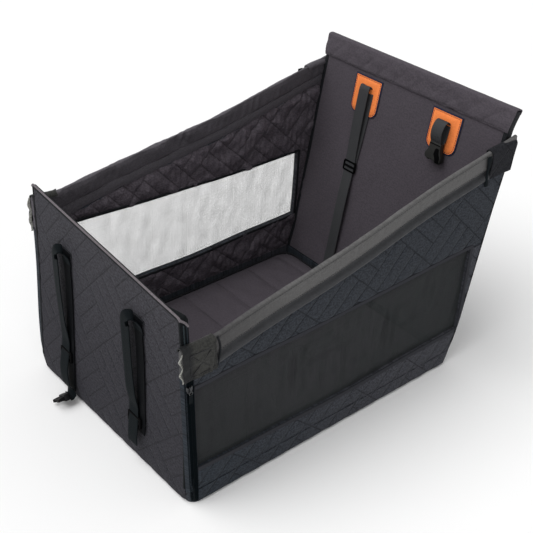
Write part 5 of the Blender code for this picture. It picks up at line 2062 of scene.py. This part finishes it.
def build_zip_slider(side, name):
    """Slider body with its bridge and ring, and the pull that hangs from it."""
    low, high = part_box(f"{name}_zip_slider")
    depth = abs(low.x if side > 0 else high.x) - half_width + wall_thickness
    sewn = round_corners(wall_place(side, depth, zip_line, (low.z + high.z) / 2))
    face, y = abs(float(sewn[0])), float(sewn[1])
    body = f"{name}_zip_slider"

    def place(a, b, c):
        return (side * (face + 0.0022 + c), y + a, b)

    outline = [(-slider_half, high.z), (-slider_half, low.z + slider_taper), (-slider_nose, low.z)]
    outline += [(slider_nose, low.z), (slider_half, low.z + slider_taper), (slider_half, high.z)]
    outline += [(0.0015, high.z - 0.003), (-0.0015, high.z - 0.003)]
    shell = bake_modifiers(moulding(f"{name}_slider", outline, slider_thickness, place, 0.0007))
    rising = ((0.002, 0.0010), (0.003, 0.0032), (0.0065, 0.0040))
    bridge = [place(0.0, low.z + up, out) for up, out in rising]
    bridge += [place(0.0, high.z - down, out) for down, out in ((0.003, 0.0032), (0.002, 0.0010))]
    arch = cord_tube(f"{name}_slider_bridge", spline(bridge, 0.001), 0.0009, slider_metal)
    arch.data.materials.clear()
    join_into(shell, arch)
    dress(shell, slider_metal, 40)
    on_wall(shell, f"{name}_zip_slider", body=body, slot="slider_metal")

    turn = np.linspace(0, 2 * math.pi, 25)
    ring_z = low.z + 0.0048
    ring = paired(
        side * (face + 0.0062 + 0.0006 * np.cos(turn)), y + 0.0030 * np.sin(turn),
        ring_z - 0.0030 + 0.0034 * np.cos(turn),
    )
    loop = cord_tube(f"{name}_pull_ring", ring, 0.0007, slider_metal, sides=8)
    z = np.linspace(ring_z - 0.0058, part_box(f"{name}_zip_pull")[0].z, 14)
    x = face + 0.0058 - 0.0006 * np.linspace(0, 1, 14)
    tab = strap(f"{name}_pull_tab", paired(side * x, y, z), (0, 1, 0), webbing, *zip_pull_sizes)
    on_wall(loop, body=body, slot="slider_metal")
    on_wall(tab, f"{name}_zip_pull", body=body, slot="webbing")


# Zip slider: its outline and the pull's width and thickness
slider_half = 0.0052
slider_nose = 0.0030
slider_taper = 0.006
slider_thickness = 0.0026
zip_pull_sizes = (0.0058, 0.0018)


# Camera, floor and light

photo_width = 533
focal_pixels = 958.46
camera_target = Vector((0.0, -0.01, 0.25))
camera_azimuth = math.radians(51.468)
camera_elevation = math.radians(33.461)
camera_roll = math.radians(0.4055)
camera_side = -0.0435
camera_rise = 0.025
camera_distance = 1.7464
floor_half = 6.0
floor_level = -0.0005
floor_pale = 0.93
ambient_strength = 0.56

# Lights: name, kind, strength, direction, size and place
lights = (
    ("key", "SUN", 1.9, (0.5, 1.15, -2.4), math.radians(55), (0, 0, 3)),
    ("fill", "AREA", 12, (-2.4, 0.9, -0.75), 2.2, (2.9, -1.2, 1.15)),
)


def build_camera():
    data = bpy.data.cameras.new("camera")
    data.sensor_width = 36
    data.lens = focal_pixels / photo_width * data.sensor_width
    data.clip_start = 0.05
    data.clip_end = 50
    camera = bpy.data.objects.new("camera", data)
    bpy.context.scene.collection.objects.link(camera)
    a, e = camera_azimuth, camera_elevation
    back = Vector((math.sin(a) * math.cos(e), -math.cos(a) * math.cos(e), math.sin(e)))
    level = Vector((math.cos(a), math.sin(a), 0))
    above = back.cross(level)
    right = level * math.cos(camera_roll) + above * math.sin(camera_roll)
    up = above * math.cos(camera_roll) - level * math.sin(camera_roll)
    eye = camera_target + back * camera_distance - right * camera_side - up * camera_rise
    placed = Matrix((right, up, back)).transposed().to_4x4()
    placed.translation = eye
    camera.matrix_world = placed
    bpy.context.scene.camera = camera


def add_light(name, kind, strength, toward, size, place):
    data = bpy.data.lights.new(name, kind)
    data.energy = strength
    if kind == "SUN":
        data.angle = size
    else:
        data.shape = "DISK"
        data.size = size
    light = bpy.data.objects.new(name, data)
    light.location = place
    light.rotation_mode = "QUATERNION"
    light.rotation_quaternion = Vector(toward).to_track_quat("-Z", "Y")
    bpy.context.scene.collection.objects.link(light)


def build_stage():
    scene = bpy.context.scene
    scene.view_settings.view_transform = "Standard"
    world = bpy.data.worlds.new("studio")
    scene.world = world
    world.use_nodes = True
    nodes, links = world.node_tree.nodes, world.node_tree.links
    ambient = nodes["Background"]
    seen = nodes.new("ShaderNodeBackground")
    for shader, strength in ((ambient, ambient_strength), (seen, 1.0)):
        shader.inputs["Color"].default_value = (1, 1, 1, 1)
        shader.inputs["Strength"].default_value = strength
    path = nodes.new("ShaderNodeLightPath")
    ray = path.outputs["Is Camera Ray"]
    for other in ("Is Glossy Ray", "Is Transmission Ray"):
        either = nodes.new("ShaderNodeMath")
        either.operation = "MAXIMUM"
        links.new(ray, either.inputs[0])
        links.new(path.outputs[other], either.inputs[1])
        ray = either.outputs[0]
    mixed = nodes.new("ShaderNodeMixShader")
    links.new(ray, mixed.inputs[0])
    links.new(ambient.outputs[0], mixed.inputs[1])
    links.new(seen.outputs[0], mixed.inputs[2])
    links.new(mixed.outputs[0], nodes["World Output"].inputs["Surface"])

    corners = ((-1, -1), (1, -1), (1, 1), (-1, 1))
    places = [(floor_half * x, floor_half * y, floor_level) for x, y in corners]
    floor = mesh_piece("floor", places, [[0, 1, 2, 3]])
    graph = Graph("floor", 0.9, specular=0.1)
    patchy = graph.noise(graph.coordinates.outputs["Object"], 3.0, 2.0)
    graph.done(graph.mix(patchy, (floor_pale * 0.99,) * 3, (floor_pale * 1.01,) * 3))
    floor.data.materials.append(graph.material)
    for light in lights:
        add_light(*light)


build_camera()
build_stage()
build_base_skirt()
build_base_board()
build_cushion()
for side, name in sides:
    build_wall_cloth(side, name)
    build_window_binding(side, name)
    build_mesh_window(side, name)
    build_zip(side, name)
    build_rail(side, name)
    build_tab(side, name)
    build_rear_flap(side, name)
    build_rear_pull(side, name)
    build_zip_slider(side, name)
build_front_panel()
build_back_panel()
for name, centre in patch_centres.items():
    build_patch(name, centre)
for name in front_feet:
    build_front_strap(name)
build_plug()
build_back_strap_left()
build_back_loop_right()
